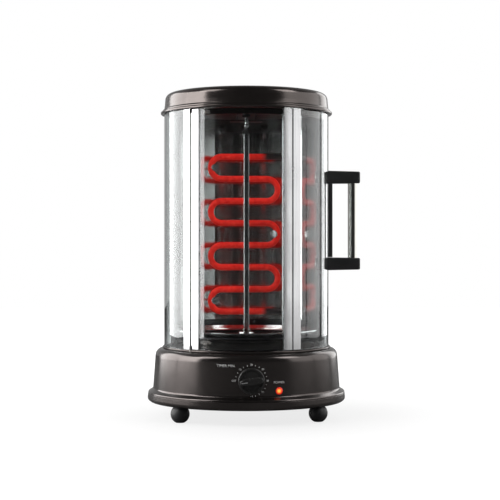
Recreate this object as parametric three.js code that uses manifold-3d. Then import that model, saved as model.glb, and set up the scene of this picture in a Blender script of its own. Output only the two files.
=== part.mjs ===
// Countertop vertical rotisserie oven: a round glazed cage with a hinged door on an oval base.
// Millimetres, +Z up. The front faces -Y and the door handle is on the +X side.
import * as THREE from "three";
import { mergeVertices } from "three/addons/utils/BufferGeometryUtils.js";
import Module from "manifold-3d";

const wasm = await Module();
wasm.setup();

// ---------------------------------------------------------------- driving sizes

// Overall
const totalHeight = 465;
const cageRadius = 119; // outer face of the glass
const capHeight = 26.5;
const baseBottom = 21.5; // underside of the skirt above the table
const baseHeight = 76.5; // skirt underside to the top face of the base
const gap = 0.3; // between pieces that rest on or fit into each other
const runningFit = 0.07; // radial clearance of a shaft that turns in its hole

// Base housing
const skirtOverhang = 24; // skirt bead beyond the glass
const skirtDepthShare = 0.93; // depth of the oval skirt over its width
const topDepthShare = 0.985; // the same share where the base meets the cage
const baseWall = 2.2;
const shoulderOverhang = 12;
const shoulderFillet = 10;
const waistShare = 0.28; // height of the waist between skirt underside and base top
const waistFlare = 4; // waist beyond the shoulder
const flareRadius = 5;
const beadRadius = 7;
const seamRise = 12;
const seamDepth = 0.9;
const basePlateThickness = 1.5;
const ventCount = 5;
const ventPitch = 14;
const ventWidth = 5;
const ventLength = 60;
const footBallShare = 1.256; // foot diameter over the height of the skirt above the table
const footContactShare = 0.444; // flat under the foot over its diameter
const footAngle = 48.8; // foot centres round the spit from the front, before the base is made oval
const footClearance = 1.2; // foot necks inside the rim of the skirt
const footNeckRadius = 7;
const footStudRadius = 3;
const footStudBarb = 2;

// Controls
const knobDiameterShare = 0.4706; // knob diameter over the height of the base
const knobDepth = 17;
const knobSkirtDepth = 6;
const knobClearance = 1.4; // knob off the panel
const knobBarWidthShare = 0.27; // finger bar over the knob's diameter
const knobBarLengthShare = 0.9;
const knobShare = 0.535; // height of the knob between skirt underside and base top
const shaftRadius = 3;
const timerWidth = 40;
const timerHeight = 34;
const timerDepth = 24;
const timerNeckWall = 1.6;
const timerBack = 6; // timer box behind the inside of the front wall
const timerBoreDepth = 15;
const timerShaftShare = 0.6; // share of the knob's depth that the shaft reaches into
const lampDiameter = 11;
const lampAngle = 17.5;
const lampShare = 0.348;
const lampRise = 2.5; // crown of the lens beyond the wall
const lampSeat = 4; // back of the lens behind the wall
const lampHolderLength = 16;
const glandAngle = 160;
const glandRadius = 5;
const glandWall = 1.8;
const glandFlange = 3;

// Drive
const motorRadius = 26;
const motorHeight = 22;
const motorDrop = 14; // motor top below the underside of the base top
const strapThickness = 1.5;
const strapWidth = 24;
const strapClearance = 4; // strap legs off the motor
const strapTab = 16;
const gearboxShare = 0.45; // gearbox boss over the motor's radius
const gearboxRise = 4;
const shaftIntoMotor = 8;
const shaftIntoSocket = 7;
const bushWall = 3.5;
const bushFlange = 3;
const bushFlangeHeight = 2;
const socketRadius = 6.2;
const socketHeight = 18;
const socketRise = 26.5; // socket top above the base top

// Cage
const cageTurn = -7; // the five posts stand this far off the front
const sectorAngle = 72;
const postWidth = 28;
const postGroove = 1.8;
const postOutside = 1.2; // post face beyond the glass
const postInside = 2.5; // post face inside the glass
const glassThickness = 3;
const glassGripShare = 0.143; // how far a pane reaches into its post over the post width
const sheetThickness = 1.2;
const lowerRingThickness = 2.7;
const upperRingThickness = 3.7;
const ringInset = 8; // inner edge of both rings inside the glass
const lowerRingOverhang = 2;
const upperRingOverhang = 5;
const capOverhang = 2;
const capTaper = 3.5;
const capFillet = 8.5;
const capWall = 1.2;
const doorGap = 0.8;
const railHeight = 8;
const railThickness = 2.6;
const hingePinRadius = 1.35;
const hingeLugRadius = 2.7;
const hingeLugHeight = 5;

// Handle
const handleReach = 50; // arm tips beyond the glass
const handleSpan = 146;
const handleShare = 0.543; // middle of the handle up the height of the cage
const armHeight = 19;
const armWidth = 17;
const armSlim = 0.8; // taken off the top and bottom of each arm outwards of its foot
const armCorner = 2;
const screwDepth = 12; // screw hole in an arm
const gripDiameter = 14.2;
const gripInset = 9.8; // grip axis in from the arm tips
const gripSeat = 6; // how far the grip reaches into each arm
const backPlateThickness = 6.5;
const innerBarWidth = 12;
const innerBarThickness = 4;
const innerBlockThickness = 8.5; // ends of the inner bar, under the screw heads
const screwRadius = 1.5;
const screwHeadRadius = 3.6;

// Roasting space
const trayInset = 17; // tray rim inside the glass
const trayRimRise = 27; // tray rim above the base top
const trayDepth = 12;
const trayWall = 1;
const trayLift = 8; // how far the tray lifts before it meets the reflector
const carrierWall = 2;
const carrierInset = 16; // carrier wall inside the tray rim
const carrierFlange = 8;
const trayHubClearance = 2.5; // hole in the tray round the socket
const spitWidth = 7.6;
const spitEndDepth = 6;
const spitLift = 8;
const spitPinRadius = 2;
const spitBallOver = 1.4; // ball beyond the pin
const spitPinLength = 9; // pin inside the bearing
const bearingWall = 4;
const bearingFlange = 4;
const bearingDrop = 5.5; // bearing below the inner top plate
const bracketDrop = 12;
const bracketDepth = 12;
const bracketUpperWidth = 32;
const bracketLowerWidth = 46;
const bracketLegSpread = 28;
const heaterWidthShare = 0.4622; // width of the heater over the diameter of the cage
const heaterTube = 9;
const heaterRuns = 8;
const heaterLowShare = 0.136; // lowest and highest run up the height of the cage
const heaterHighShare = 0.832;
const heaterBackShare = 0.5042; // heater plane behind the spit over the cage radius
const heaterEndShare = 0.7647; // ends of the tube beyond the spit over the cage radius
const heaterPinRadius = 1.6;
const heaterWasher = 4; // washer beyond its pin
const reflectorMargin = 3; // degrees between the reflector's edges and the posts
const cutoutRadius = 8;
const cutoutDepth = 7;
const reflectorFacets = 8;
const reflectorDepthShare = 0.168; // reflector middle nearer the spit than its ends, over the cage radius
const insulatorWall = 3;
const insulatorLength = 12;

// Roundness: sides of a full turn
const largeTurn = 48;
const middleTurn = 36;
const smallTurn = 18;
const shaftTurn = 24;
const arcStep = 4.5; // degrees

// ---------------------------------------------------------------- heights and radii that follow

const degrees = Math.PI / 180;
const baseTop = baseBottom + baseHeight;
const skirtRadius = cageRadius + skirtOverhang;
const shoulderRadius = cageRadius + shoulderOverhang;
const waistRadius = shoulderRadius + waistFlare;
const waistHeight = baseBottom + baseHeight * waistShare;
const basePlateBottom = baseBottom + baseWall + gap;
const bushRadius = shaftRadius + bushWall;
const ringInner = cageRadius - ringInset;
const deckRadius = ringInner - gap;
const lowerRingBottom = baseTop + gap;
const cageBottom = lowerRingBottom + lowerRingThickness + gap;
const capBottom = totalHeight - capHeight;
const upperRingBottom = capBottom - gap - upperRingThickness;
const cageTop = upperRingBottom - gap;
const cageHeight = cageTop - cageBottom;
const doorBottom = cageBottom + doorGap;
const doorTop = cageTop - doorGap;
const postOuter = cageRadius + postOutside;
const glassInner = cageRadius - glassThickness;
const postInner = glassInner - postInside;
const glassGrip = postWidth * glassGripShare;
const halfPost = postWidth / 2 / cageRadius / degrees;
const halfGroove = postGroove / 2 / cageRadius / degrees;
const paneInset = halfPost - glassGrip / cageRadius / degrees;
const deckTop = lowerRingBottom + sheetThickness;
const innerPlateBottom = capBottom - gap - sheetThickness;
const spitBallRadius = spitPinRadius + spitBallOver;
const bearingRadius = spitPinRadius + bearingWall;
const bearingBottom = innerPlateBottom - bearingDrop;
const pinTop = bearingBottom + spitPinLength;
const postAngle = (index) => cageTurn + sectorAngle * (index + 0.5);
const hingeAngle = postAngle(-1);
const mullionAngle = postAngle(0);
const closingAngle = postAngle(1);
const rearAngle = postAngle(2);
const leftRearAngle = postAngle(-2);

// ---------------------------------------------------------------- shape helpers

const point = (x, y) => new THREE.Vector2(x, y);

// A point in plan at an angle from the front, growing towards the handle side.
function polar(radius, angle) {
  return point(radius * Math.sin(angle * degrees), -radius * Math.cos(angle * degrees));
}

// An outline in plan from [radius, angle] corners; corners on one radius are joined by an arc.
function polarShape(corners) {
  const points = [];
  corners.forEach(([radius, angle], index) => {
    const [nextRadius, nextAngle] = corners[(index + 1) % corners.length];
    const arc = nextRadius === radius ? Math.abs(nextAngle - angle) : 0;
    const steps = Math.max(1, Math.ceil(arc / arcStep));
    for (let step = 0; step < steps; step += 1) {
      points.push(polar(radius, angle + ((nextAngle - angle) * step) / steps));
    }
  });
  return new THREE.Shape(points);
}

// Points round part of a circle in a profile, angles in degrees from the outward direction.
function bend(centreX, centreY, radius, from, to, steps) {
  const points = [];
  for (let step = 0; step <= steps; step += 1) {
    const angle = (from + ((to - from) * step) / steps) * degrees;
    points.push(point(centreX + radius * Math.cos(angle), centreY + radius * Math.sin(angle)));
  }
  return points;
}

// The same line one thickness to the right of its direction of travel.
function offsetLine(points, thickness) {
  return points.map((here, index) => {
    const previous = points[index - 1];
    const next = points[index + 1];
    const after = next ? next.clone().sub(here).normalize() : null;
    const before = previous ? here.clone().sub(previous).normalize() : null;
    const along = (before ?? after).clone().add(after ?? before).normalize();
    const reach = thickness / along.dot(after ?? before);
    return point(here.x + along.y * reach, here.y - along.x * reach);
  });
}

// The closed outline of a sheet of even thickness that follows a line.
function sheetOutline(points, thickness) {
  return [...points, ...offsetLine(points, thickness).reverse()];
}

// A solid of revolution about Z from a profile of (radius, height) points.
function turned(profile, sides) {
  const points = THREE.ShapeUtils.area(profile) < 0 ? [...profile].reverse() : [...profile];
  const onAxis = points[0].x === 0 && points[points.length - 1].x === 0;
  if (!onAxis) {
    points.push(points[0].clone());
  }
  return new THREE.LatheGeometry(points, sides).rotateX(90 * degrees);
}

// A plain disc, or a ring when it has an inner radius.
function disc(inner, outer, bottom, top, sides) {
  return turned([point(inner, bottom), point(outer, bottom), point(outer, top), point(inner, top)], sides);
}

// A plan outline raised from one height to another.
function upright(shape, bottom, top) {
  const raised = new THREE.ExtrudeGeometry(shape, { depth: top - bottom, bevelEnabled: false });
  return raised.translate(0, 0, bottom);
}

// A side-view outline (x, z) given a width along Y, centred on the XZ plane.
function sideways(points, width) {
  const made = new THREE.ExtrudeGeometry(new THREE.Shape(points), { depth: width, bevelEnabled: false });
  return made.translate(0, 0, -width / 2).rotateX(90 * degrees);
}

// Something made upright on the Z axis, laid down to point forwards.
function towardsFront(geometry) {
  return geometry.rotateX(90 * degrees);
}

// Something made upright on the Z axis, laid down to point along +X.
function towardsSide(geometry) {
  return geometry.rotateY(90 * degrees);
}

// Something made along +X, turned to point away from the spit at an angle from the front.
function facing(geometry, angle) {
  return geometry.rotateZ((angle - 90) * degrees);
}

function box(width, depth, height) {
  return new THREE.BoxGeometry(width, depth, height);
}

function toManifold(geometry) {
  const bare = geometry.clone();
  bare.deleteAttribute("normal");
  bare.deleteAttribute("uv");
  const merged = mergeVertices(bare, 1e-4);
  const vertProperties = merged.attributes.position.array;
  const triVerts = new Uint32Array(merged.index.array);
  return new wasm.Manifold(new wasm.Mesh({ numProp: 3, vertProperties, triVerts }));
}

function toGeometry(manifold) {
  const mesh = manifold.getMesh();
  const geometry = new THREE.BufferGeometry();
  geometry.setAttribute("position", new THREE.BufferAttribute(mesh.vertProperties, 3));
  geometry.setIndex(new THREE.BufferAttribute(mesh.triVerts, 1));
  geometry.computeVertexNormals();
  return geometry;
}

function joined(...geometries) {
  return toGeometry(geometries.map(toManifold).reduce((whole, next) => whole.add(next)));
}

function cut(geometry, ...tools) {
  return toGeometry(tools.map(toManifold).reduce((whole, tool) => whole.subtract(tool), toManifold(geometry)));
}

const oven = new THREE.Group();
oven.name = "rotisserie_oven";

// Adds one piece with its own material: colour, roughness, metalness.
function add(name, geometry, [color, roughness, metalness]) {
  const material = new THREE.MeshStandardMaterial({ color, roughness, metalness });
  const mesh = new THREE.Mesh(geometry, material);
  mesh.name = name;
  oven.add(mesh);
}

const satinBlack = [0x1d1d20, 0.35, 0.25];
const housingPaint = [0x2b2a2c, 0.32, 0.35];
const glossBlack = [0x0c0c0d, 0.12, 0];
const blackPlastic = [0x141415, 0.45, 0];
const rubber = [0x111111, 0.8, 0];
const aluminium = [0xd9dadc, 0.25, 1];
const polishedSteel = [0xc8c9cb, 0.15, 1];
const darkSteel = [0x55565a, 0.35, 1];
const chrome = [0xe6e7e9, 0.08, 1];
const glass = [0x3a4044, 0.05, 0];
const glowingTube = [0xe02a22, 0.5, 0];
const ceramic = [0xe9e2d2, 0.6, 0];
const lampRed = [0xff3a1a, 0.2, 0];
const brass = [0xb8954a, 0.35, 1];

// ---------------------------------------------------------------- base housing

// How deep the oval base is at a height, as a share of its width there.
function depthShare(height) {
  const up = (height - baseBottom) / baseHeight;
  return skirtDepthShare + (topDepthShare - skirtDepthShare) * up;
}

function oval(geometry) {
  const position = geometry.attributes.position;
  for (let index = 0; index < position.count; index += 1) {
    position.setY(index, position.getY(index) * depthShare(position.getZ(index)));
  }
  return geometry;
}

// Half width of the plain side wall between shoulder and waist.
function wallRadius(height) {
  const shoulderHeight = baseTop - shoulderFillet;
  const down = (shoulderHeight - height) / (shoulderHeight - waistHeight);
  return shoulderRadius + waistFlare * down;
}

// Distance from the spit axis to the outside of the base wall at a height and an angle.
function wallReach(height, angle) {
  const halfWidth = wallRadius(height);
  const halfDepth = halfWidth * depthShare(height);
  const across = halfDepth * Math.sin(angle * degrees);
  const along = halfWidth * Math.cos(angle * degrees);
  return (halfWidth * halfDepth) / Math.hypot(across, along);
}

const knobDiameter = baseHeight * knobDiameterShare;
const knobHeight = baseBottom + baseHeight * knobShare;
const lampHeight = baseBottom + baseHeight * lampShare;
const timerNeckRadius = shaftRadius + timerNeckWall;
const panelDistance = wallReach(knobHeight, 0);
const lampDistance = wallReach(lampHeight, lampAngle);
const glandDistance = wallReach(knobHeight, glandAngle);

function makeBase() {
  const seamHeight = baseBottom + seamRise;
  const beadHeight = baseBottom + beadRadius;
  const aboveSeam = [
    point(bushRadius + gap, baseTop),
    ...bend(shoulderRadius - shoulderFillet, baseTop - shoulderFillet, shoulderFillet, 90, 10, 4),
    ...bend(waistRadius + flareRadius, waistHeight, flareRadius, 180, 240, 3),
    point(skirtRadius - seamDepth, seamHeight + 2 * seamDepth),
  ];
  const seam = [
    point(skirtRadius - 2 * seamDepth, seamHeight + seamDepth),
    point(skirtRadius - seamDepth, seamHeight),
  ];
  const belowSeam = bend(skirtRadius - beadRadius, beadHeight, beadRadius, 20, -90, 5);
  const inside = offsetLine([...aboveSeam, ...belowSeam], baseWall).reverse();
  const shell = oval(turned([...aboveSeam, ...seam, ...belowSeam, ...inside], largeTurn));
  const through = 4 * baseWall;
  const timerHole = towardsFront(disc(0, timerNeckRadius + gap, -through, through, smallTurn));
  const lampHole = towardsSide(disc(0, lampDiameter / 2 + gap, -2 * through, 2 * through, smallTurn));
  const glandHole = towardsSide(disc(0, glandRadius + gap, -through, through, smallTurn));
  timerHole.translate(0, -panelDistance, knobHeight);
  facing(lampHole.translate(lampDistance, 0, lampHeight), lampAngle);
  facing(glandHole.translate(glandDistance, 0, knobHeight), glandAngle);
  add("base_shell", cut(shell, timerHole, lampHole, glandHole), housingPaint);
}

const basePlateRadius = skirtRadius - beadRadius + 1;
const footCircle = skirtRadius - beadRadius - footNeckRadius - footClearance;
const footAcross = footCircle * Math.sin(footAngle * degrees);
const footAlong = footCircle * Math.cos(footAngle * degrees) * skirtDepthShare;
const skirtClearance = 1; // ball of a foot below the skirt

function makeBasePlate() {
  const plateTop = basePlateBottom + basePlateThickness;
  const plate = oval(disc(0, basePlateRadius, basePlateBottom, plateTop, largeTurn));
  const tools = [];
  for (const across of [-footAcross, footAcross]) {
    for (const along of [-footAlong, footAlong]) {
      const hole = disc(0, footStudRadius + gap, baseBottom, 2 * plateTop, smallTurn);
      tools.push(hole.translate(across, along, 0));
    }
  }
  for (let index = 0; index < ventCount; index += 1) {
    const slot = box(ventWidth, ventLength, 4 * basePlateThickness);
    tools.push(slot.translate((index - (ventCount - 1) / 2) * ventPitch, 0, basePlateBottom));
  }
  add("base_plate", cut(plate, ...tools), darkSteel);
}

// A rubber ball foot with a stud that snaps through the base plate.
function makeFoot(name, across, along) {
  const ballRadius = (footBallShare * baseBottom) / 2;
  const contactRadius = footContactShare * ballRadius;
  const plateTop = basePlateBottom + basePlateThickness;
  const ballHeight = Math.sqrt(ballRadius ** 2 - contactRadius ** 2);
  const contact = -Math.acos(footContactShare) / degrees;
  const ballTop = baseBottom - skirtClearance;
  const neck = Math.asin((ballTop - ballHeight) / ballRadius) / degrees;
  const foot = turned(
    [
      point(0, 0),
      ...bend(0, ballHeight, ballRadius, contact, neck, 6),
      point(footNeckRadius, ballTop),
      point(footNeckRadius, basePlateBottom - gap),
      point(footStudRadius, basePlateBottom - gap),
      point(footStudRadius, plateTop + gap),
      point(footStudRadius + footStudBarb, plateTop + gap),
      point(footStudRadius, plateTop + gap + footStudBarb),
      point(0, plateTop + gap + footStudBarb),
    ],
    smallTurn,
  );
  add(name, foot.translate(across, along, 0), rubber);
}

makeBase();
makeBasePlate();
makeFoot("foot_front_left", -footAcross, -footAlong);
makeFoot("foot_front_right", footAcross, -footAlong);
makeFoot("foot_rear_left", -footAcross, footAlong);
makeFoot("foot_rear_right", footAcross, footAlong);

// ---------------------------------------------------------------- timer, lamp and wiring pieces

function makeTimer() {
  const boxFront = panelDistance - baseWall - timerBack;
  const body = box(timerWidth, timerDepth, timerHeight).translate(0, -boxFront + timerDepth / 2, knobHeight);
  const neckLength = baseWall + timerBack;
  const neck = towardsFront(disc(0, timerNeckRadius, -2, neckLength, smallTurn));
  const bore = towardsFront(disc(0, shaftRadius + runningFit, -timerBoreDepth, 2 * neckLength, shaftTurn));
  neck.translate(0, -boxFront, knobHeight);
  bore.translate(0, -boxFront, knobHeight);
  add("timer_body", cut(joined(body, neck), bore), blackPlastic);

  const shaftLength = timerBoreDepth - 1 + neckLength + knobDepth * timerShaftShare;
  const shaft = towardsFront(disc(0, shaftRadius, 0, shaftLength, shaftTurn));
  add("timer_shaft", shaft.translate(0, -boxFront + timerBoreDepth - 1, knobHeight), brass);
}

// A round skirt with a raised finger bar across it.
function makeKnob() {
  const radius = knobDiameter / 2;
  const skirt = turned(
    [
      point(0, knobClearance),
      point(radius, knobClearance),
      ...bend(radius - 2, knobSkirtDepth - 2, 2, 0, 90, 3),
      point(radius - 4, knobSkirtDepth),
      point(0, knobSkirtDepth - 1),
    ],
    middleTurn,
  );
  const barWidth = knobDiameter * knobBarWidthShare;
  const barLength = knobDiameter * knobBarLengthShare;
  const bar = new THREE.Shape();
  const flat = barLength / 2 - barWidth / 2;
  bar.absarc(flat, 0, barWidth / 2, -90 * degrees, 90 * degrees);
  bar.absarc(-flat, 0, barWidth / 2, 90 * degrees, 270 * degrees);
  const chamfer = 1.2;
  const grip = new THREE.ExtrudeGeometry(bar, {
    depth: knobDepth - knobSkirtDepth + 2 - chamfer,
    bevelThickness: chamfer,
    bevelSize: chamfer,
    bevelOffset: -chamfer,
    bevelSegments: 2,
    curveSegments: 8,
  });
  grip.translate(0, 0, knobSkirtDepth - 2);
  const bore = disc(0, shaftRadius + gap, 0, knobDepth * timerShaftShare + 1, shaftTurn);
  const knob = towardsFront(cut(joined(skirt, grip), bore));
  add("timer_knob", knob.translate(0, -panelDistance, knobHeight), glossBlack);
}

function makeLamp() {
  const radius = lampDiameter / 2;
  const lens = turned(
    [
      point(0, -lampSeat),
      point(radius, -lampSeat),
      point(radius, 0),
      point(radius * 0.87, lampRise * 0.5),
      point(radius * 0.5, lampRise * 0.87),
      point(0, lampRise),
    ],
    smallTurn,
  );
  const holderFront = -lampSeat - gap;
  const holder = disc(0, radius - 1, holderFront - lampHolderLength, holderFront, smallTurn);
  facing(towardsSide(lens).translate(lampDistance, 0, lampHeight), lampAngle);
  facing(towardsSide(holder).translate(lampDistance, 0, lampHeight), lampAngle);
  add("lamp_lens", lens, lampRed);
  add("lamp_holder", holder, blackPlastic);
}

// The bushed hole at the rear where a supply cord would enter.
function makeCordInlet() {
  const bore = glandRadius - glandWall;
  const back = -baseWall - 3 * glandFlange;
  const inlet = turned(
    [
      point(bore, back),
      point(glandRadius, back),
      point(glandRadius, gap),
      point(glandRadius + glandFlange, gap),
      point(glandRadius + glandFlange, gap + 1),
      point(glandRadius, gap + glandFlange),
      point(bore, gap + glandFlange),
    ],
    smallTurn,
  );
  facing(towardsSide(inlet).translate(glandDistance + 1, 0, knobHeight), glandAngle);
  add("cord_inlet", inlet, blackPlastic);
}

function makeTerminalBlock() {
  const width = 34;
  const depth = 18;
  const height = 14;
  const block = box(width, depth, height);
  const slot = box(width / 6, 2 * depth, height / 2);
  const slots = [-1, 0, 1].map((side) => slot.clone().translate((side * width) / 3.4, 0, height / 2));
  const rise = basePlateBottom + basePlateThickness + gap + height / 2;
  add("terminal_block", cut(block, ...slots).translate(skirtRadius * 0.4, skirtRadius * 0.45, rise), ceramic);
}

makeTimer();
makeKnob();
makeLamp();
makeCordInlet();
makeTerminalBlock();

// ---------------------------------------------------------------- drive

const underside = baseTop - baseWall;
const motorTop = underside - motorDrop;
const motorBottom = motorTop - motorHeight;
const socketTop = baseTop + socketRise;
const socketBottom = socketTop - socketHeight;

function makeDrive() {
  const shaftBottom = motorTop - shaftIntoMotor;
  const motor = disc(0, motorRadius, motorBottom, motorTop, middleTurn);
  const gearbox = disc(0, motorRadius * gearboxShare, motorTop - 1, motorTop + gearboxRise, smallTurn);
  const bore = disc(0, shaftRadius + runningFit, shaftBottom - 1, baseTop, shaftTurn);
  add("gear_motor", cut(joined(motor, gearbox), bore), darkSteel);

  const legs = motorRadius + strapClearance;
  const tabs = legs + strapTab;
  const strapTop = underside - gap;
  const strapBottom = motorBottom - gap;
  const line = [
    point(tabs, strapTop),
    point(legs, strapTop),
    point(legs, strapBottom),
    point(-legs, strapBottom),
    point(-legs, strapTop),
    point(-tabs, strapTop),
  ];
  const outline = [...line, ...offsetLine(line, -strapThickness).reverse()];
  add("motor_strap", sideways(outline, strapWidth), darkSteel);

  const shaft = disc(0, shaftRadius, shaftBottom, socketBottom + shaftIntoSocket, shaftTurn);
  add("drive_shaft", shaft, polishedSteel);

  const flangeBottom = deckTop + gap;
  const flangeTop = flangeBottom + bushFlangeHeight;
  const bush = turned(
    [
      point(shaftRadius + runningFit, underside - 3),
      point(bushRadius, underside - 3),
      point(bushRadius, flangeBottom),
      point(bushRadius + bushFlange, flangeBottom),
      point(bushRadius + bushFlange, flangeTop),
      point(shaftRadius + runningFit, flangeTop),
    ],
    shaftTurn,
  );
  add("drive_bush", bush, brass);

  const body = turned(
    [
      point(0, socketBottom),
      point(socketRadius - 1, socketBottom),
      point(socketRadius, socketBottom + 1),
      point(socketRadius, socketTop - 1),
      point(socketRadius - 0.6, socketTop),
      point(0, socketTop),
    ],
    smallTurn,
  );
  const shaftBore = disc(0, shaftRadius + gap, socketBottom - 1, socketBottom + shaftIntoSocket + gap, shaftTurn);
  const squareWidth = spitWidth + 2 * gap;
  const square = box(squareWidth, squareWidth, 2 * spitEndDepth + 2 * gap).translate(0, 0, socketTop);
  add("drive_socket", cut(body, shaftBore, square), chrome);
}

makeDrive();

// ---------------------------------------------------------------- rings, floor, top

// A cylinder on the hinge axis, which runs up the outer face of the hinge post.
function onHinge(radius, bottom, top, sides) {
  const foot = polar(postOuter, hingeAngle);
  return disc(0, radius, bottom, top, sides).translate(foot.x, foot.y, 0);
}

function makeRings() {
  const pinHole = onHinge(hingePinRadius + gap, baseTop, totalHeight, smallTurn);
  const lowerTop = lowerRingBottom + lowerRingThickness;
  const lower = disc(ringInner, cageRadius + lowerRingOverhang, lowerRingBottom, lowerTop, largeTurn);
  add("lower_ring", cut(lower, pinHole), satinBlack);
  const upperTop = upperRingBottom + upperRingThickness;
  const upper = disc(ringInner, cageRadius + upperRingOverhang, upperRingBottom, upperTop, largeTurn);
  add("upper_ring", cut(upper, pinHole), satinBlack);
  add("cavity_floor", disc(bushRadius + gap, deckRadius, lowerRingBottom, deckTop, largeTurn), darkSteel);
  const plateTop = innerPlateBottom + sheetThickness;
  add("inner_top_plate", disc(bearingRadius + gap, deckRadius, innerPlateBottom, plateTop, largeTurn), darkSteel);
}

function makeCap() {
  const rimRadius = cageRadius + capOverhang;
  const sideRadius = rimRadius - capTaper;
  const crown = 0.8;
  const lip = 1.2;
  const line = [
    point(0, totalHeight),
    ...bend(sideRadius - capFillet, totalHeight - crown - capFillet, capFillet, 90, 5, 5),
    point(rimRadius - lip, capBottom + 2 * lip),
    point(rimRadius, capBottom + lip),
    point(rimRadius, capBottom),
  ];
  const inside = offsetLine([...line.slice(0, -2), point(rimRadius - lip, capBottom)], capWall).reverse();
  inside[inside.length - 1].x = 0;
  add("top_cap", turned([...line, ...inside], largeTurn), satinBlack);
}


// The bearing that takes the top pin of the spit, with room above the pin to lift the spit out.
function makeTopBearing() {
  const boreTop = pinTop + spitLift + 2;
  const plateTop = innerPlateBottom + sheetThickness;
  const bearing = turned(
    [
      point(spitPinRadius + runningFit, bearingBottom),
      point(bearingRadius, bearingBottom),
      point(bearingRadius, plateTop + gap),
      point(bearingRadius + bearingFlange, plateTop + gap),
      point(bearingRadius + bearingFlange, plateTop + gap + 2),
      point(bearingRadius - 1, boreTop + 2),
      point(0, boreTop + 2),
      point(0, boreTop),
      point(spitPinRadius + runningFit, boreTop),
    ].reverse(),
    shaftTurn,
  );
  add("spit_bearing", bearing, blackPlastic);
}

// Two cross bars joined by legs, hung under the inner top plate round the spit.
function makeTopBracket() {
  const barTop = innerPlateBottom - gap;
  const upperHalf = bracketUpperWidth / 2;
  const lowerHalf = bracketLowerWidth / 2;
  const legOuter = bracketLegSpread / 2;
  const barBottom = barTop - bracketDrop;
  const thickness = sheetThickness;
  const outline = [
    point(-upperHalf, barTop),
    point(-upperHalf, barTop - thickness),
    point(-legOuter, barTop - thickness),
    point(-legOuter, barBottom + thickness),
    point(-lowerHalf, barBottom + thickness),
    point(-lowerHalf, barBottom),
    point(lowerHalf, barBottom),
    point(lowerHalf, barBottom + thickness),
    point(legOuter, barBottom + thickness),
    point(legOuter, barTop - thickness),
    point(upperHalf, barTop - thickness),
    point(upperHalf, barTop),
  ];
  const middle = barTop - bracketDrop / 2;
  const window = box(2 * (legOuter - thickness), 2 * bracketDepth, bracketDrop - 2 * thickness);
  window.translate(0, 0, middle);
  const frame = cut(sideways(outline, bracketDepth), window);
  const bearingHole = disc(0, bearingRadius + gap, middle, totalHeight, smallTurn);
  const ballHole = disc(0, spitBallRadius + 1.2, cageBottom, middle, smallTurn);
  add("spit_bracket", cut(frame, bearingHole, ballHole), darkSteel);
}

makeRings();
makeCap();
makeTopBearing();
makeTopBracket();

// ---------------------------------------------------------------- posts and panes

const slotGap = gap;
const glassSlot = [glassInner - slotGap, cageRadius + slotGap];
const shellOuter = glassInner;
const shellSlot = [shellOuter - sheetThickness - slotGap, shellOuter + slotGap];

// The corners of one side of a post, from its outer face to its inner face, with a slot for a panel.
function slottedEdge(edge, inward, [slotInner, slotOuter]) {
  const depth = edge + inward * (halfPost - paneInset + gap / cageRadius / degrees);
  return [
    [postOuter, edge],
    [slotOuter, edge],
    [slotOuter, depth],
    [slotInner, depth],
    [slotInner, edge],
    [postInner, edge],
  ];
}

const plainEdge = (edge) => [
  [postOuter, edge],
  [postInner, edge],
];

// Half a post: a plain edge at the groove and a slotted edge at the panel.
function halfPostShape(centre, side, slot) {
  const corners = [
    ...slottedEdge(centre + side * halfPost, -side, slot),
    ...plainEdge(centre + side * halfGroove).reverse(),
  ];
  return polarShape(corners);
}

// A whole post: a panel slot in both edges and a shallow groove down its outer face.
function wholePostShape(centre, slotBefore, slotAfter) {
  const grooveFloor = postOuter - postGroove;
  return polarShape([
    ...slottedEdge(centre - halfPost, 1, slotBefore),
    ...slottedEdge(centre + halfPost, -1, slotAfter).reverse(),
    [postOuter, centre + halfGroove],
    [grooveFloor, centre + halfGroove],
    [grooveFloor, centre - halfGroove],
    [postOuter, centre - halfGroove],
  ]);
}

function paneShape(from, to) {
  return polarShape([
    [glassInner, from],
    [cageRadius, from],
    [cageRadius, to],
    [glassInner, to],
  ]);
}

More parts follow.
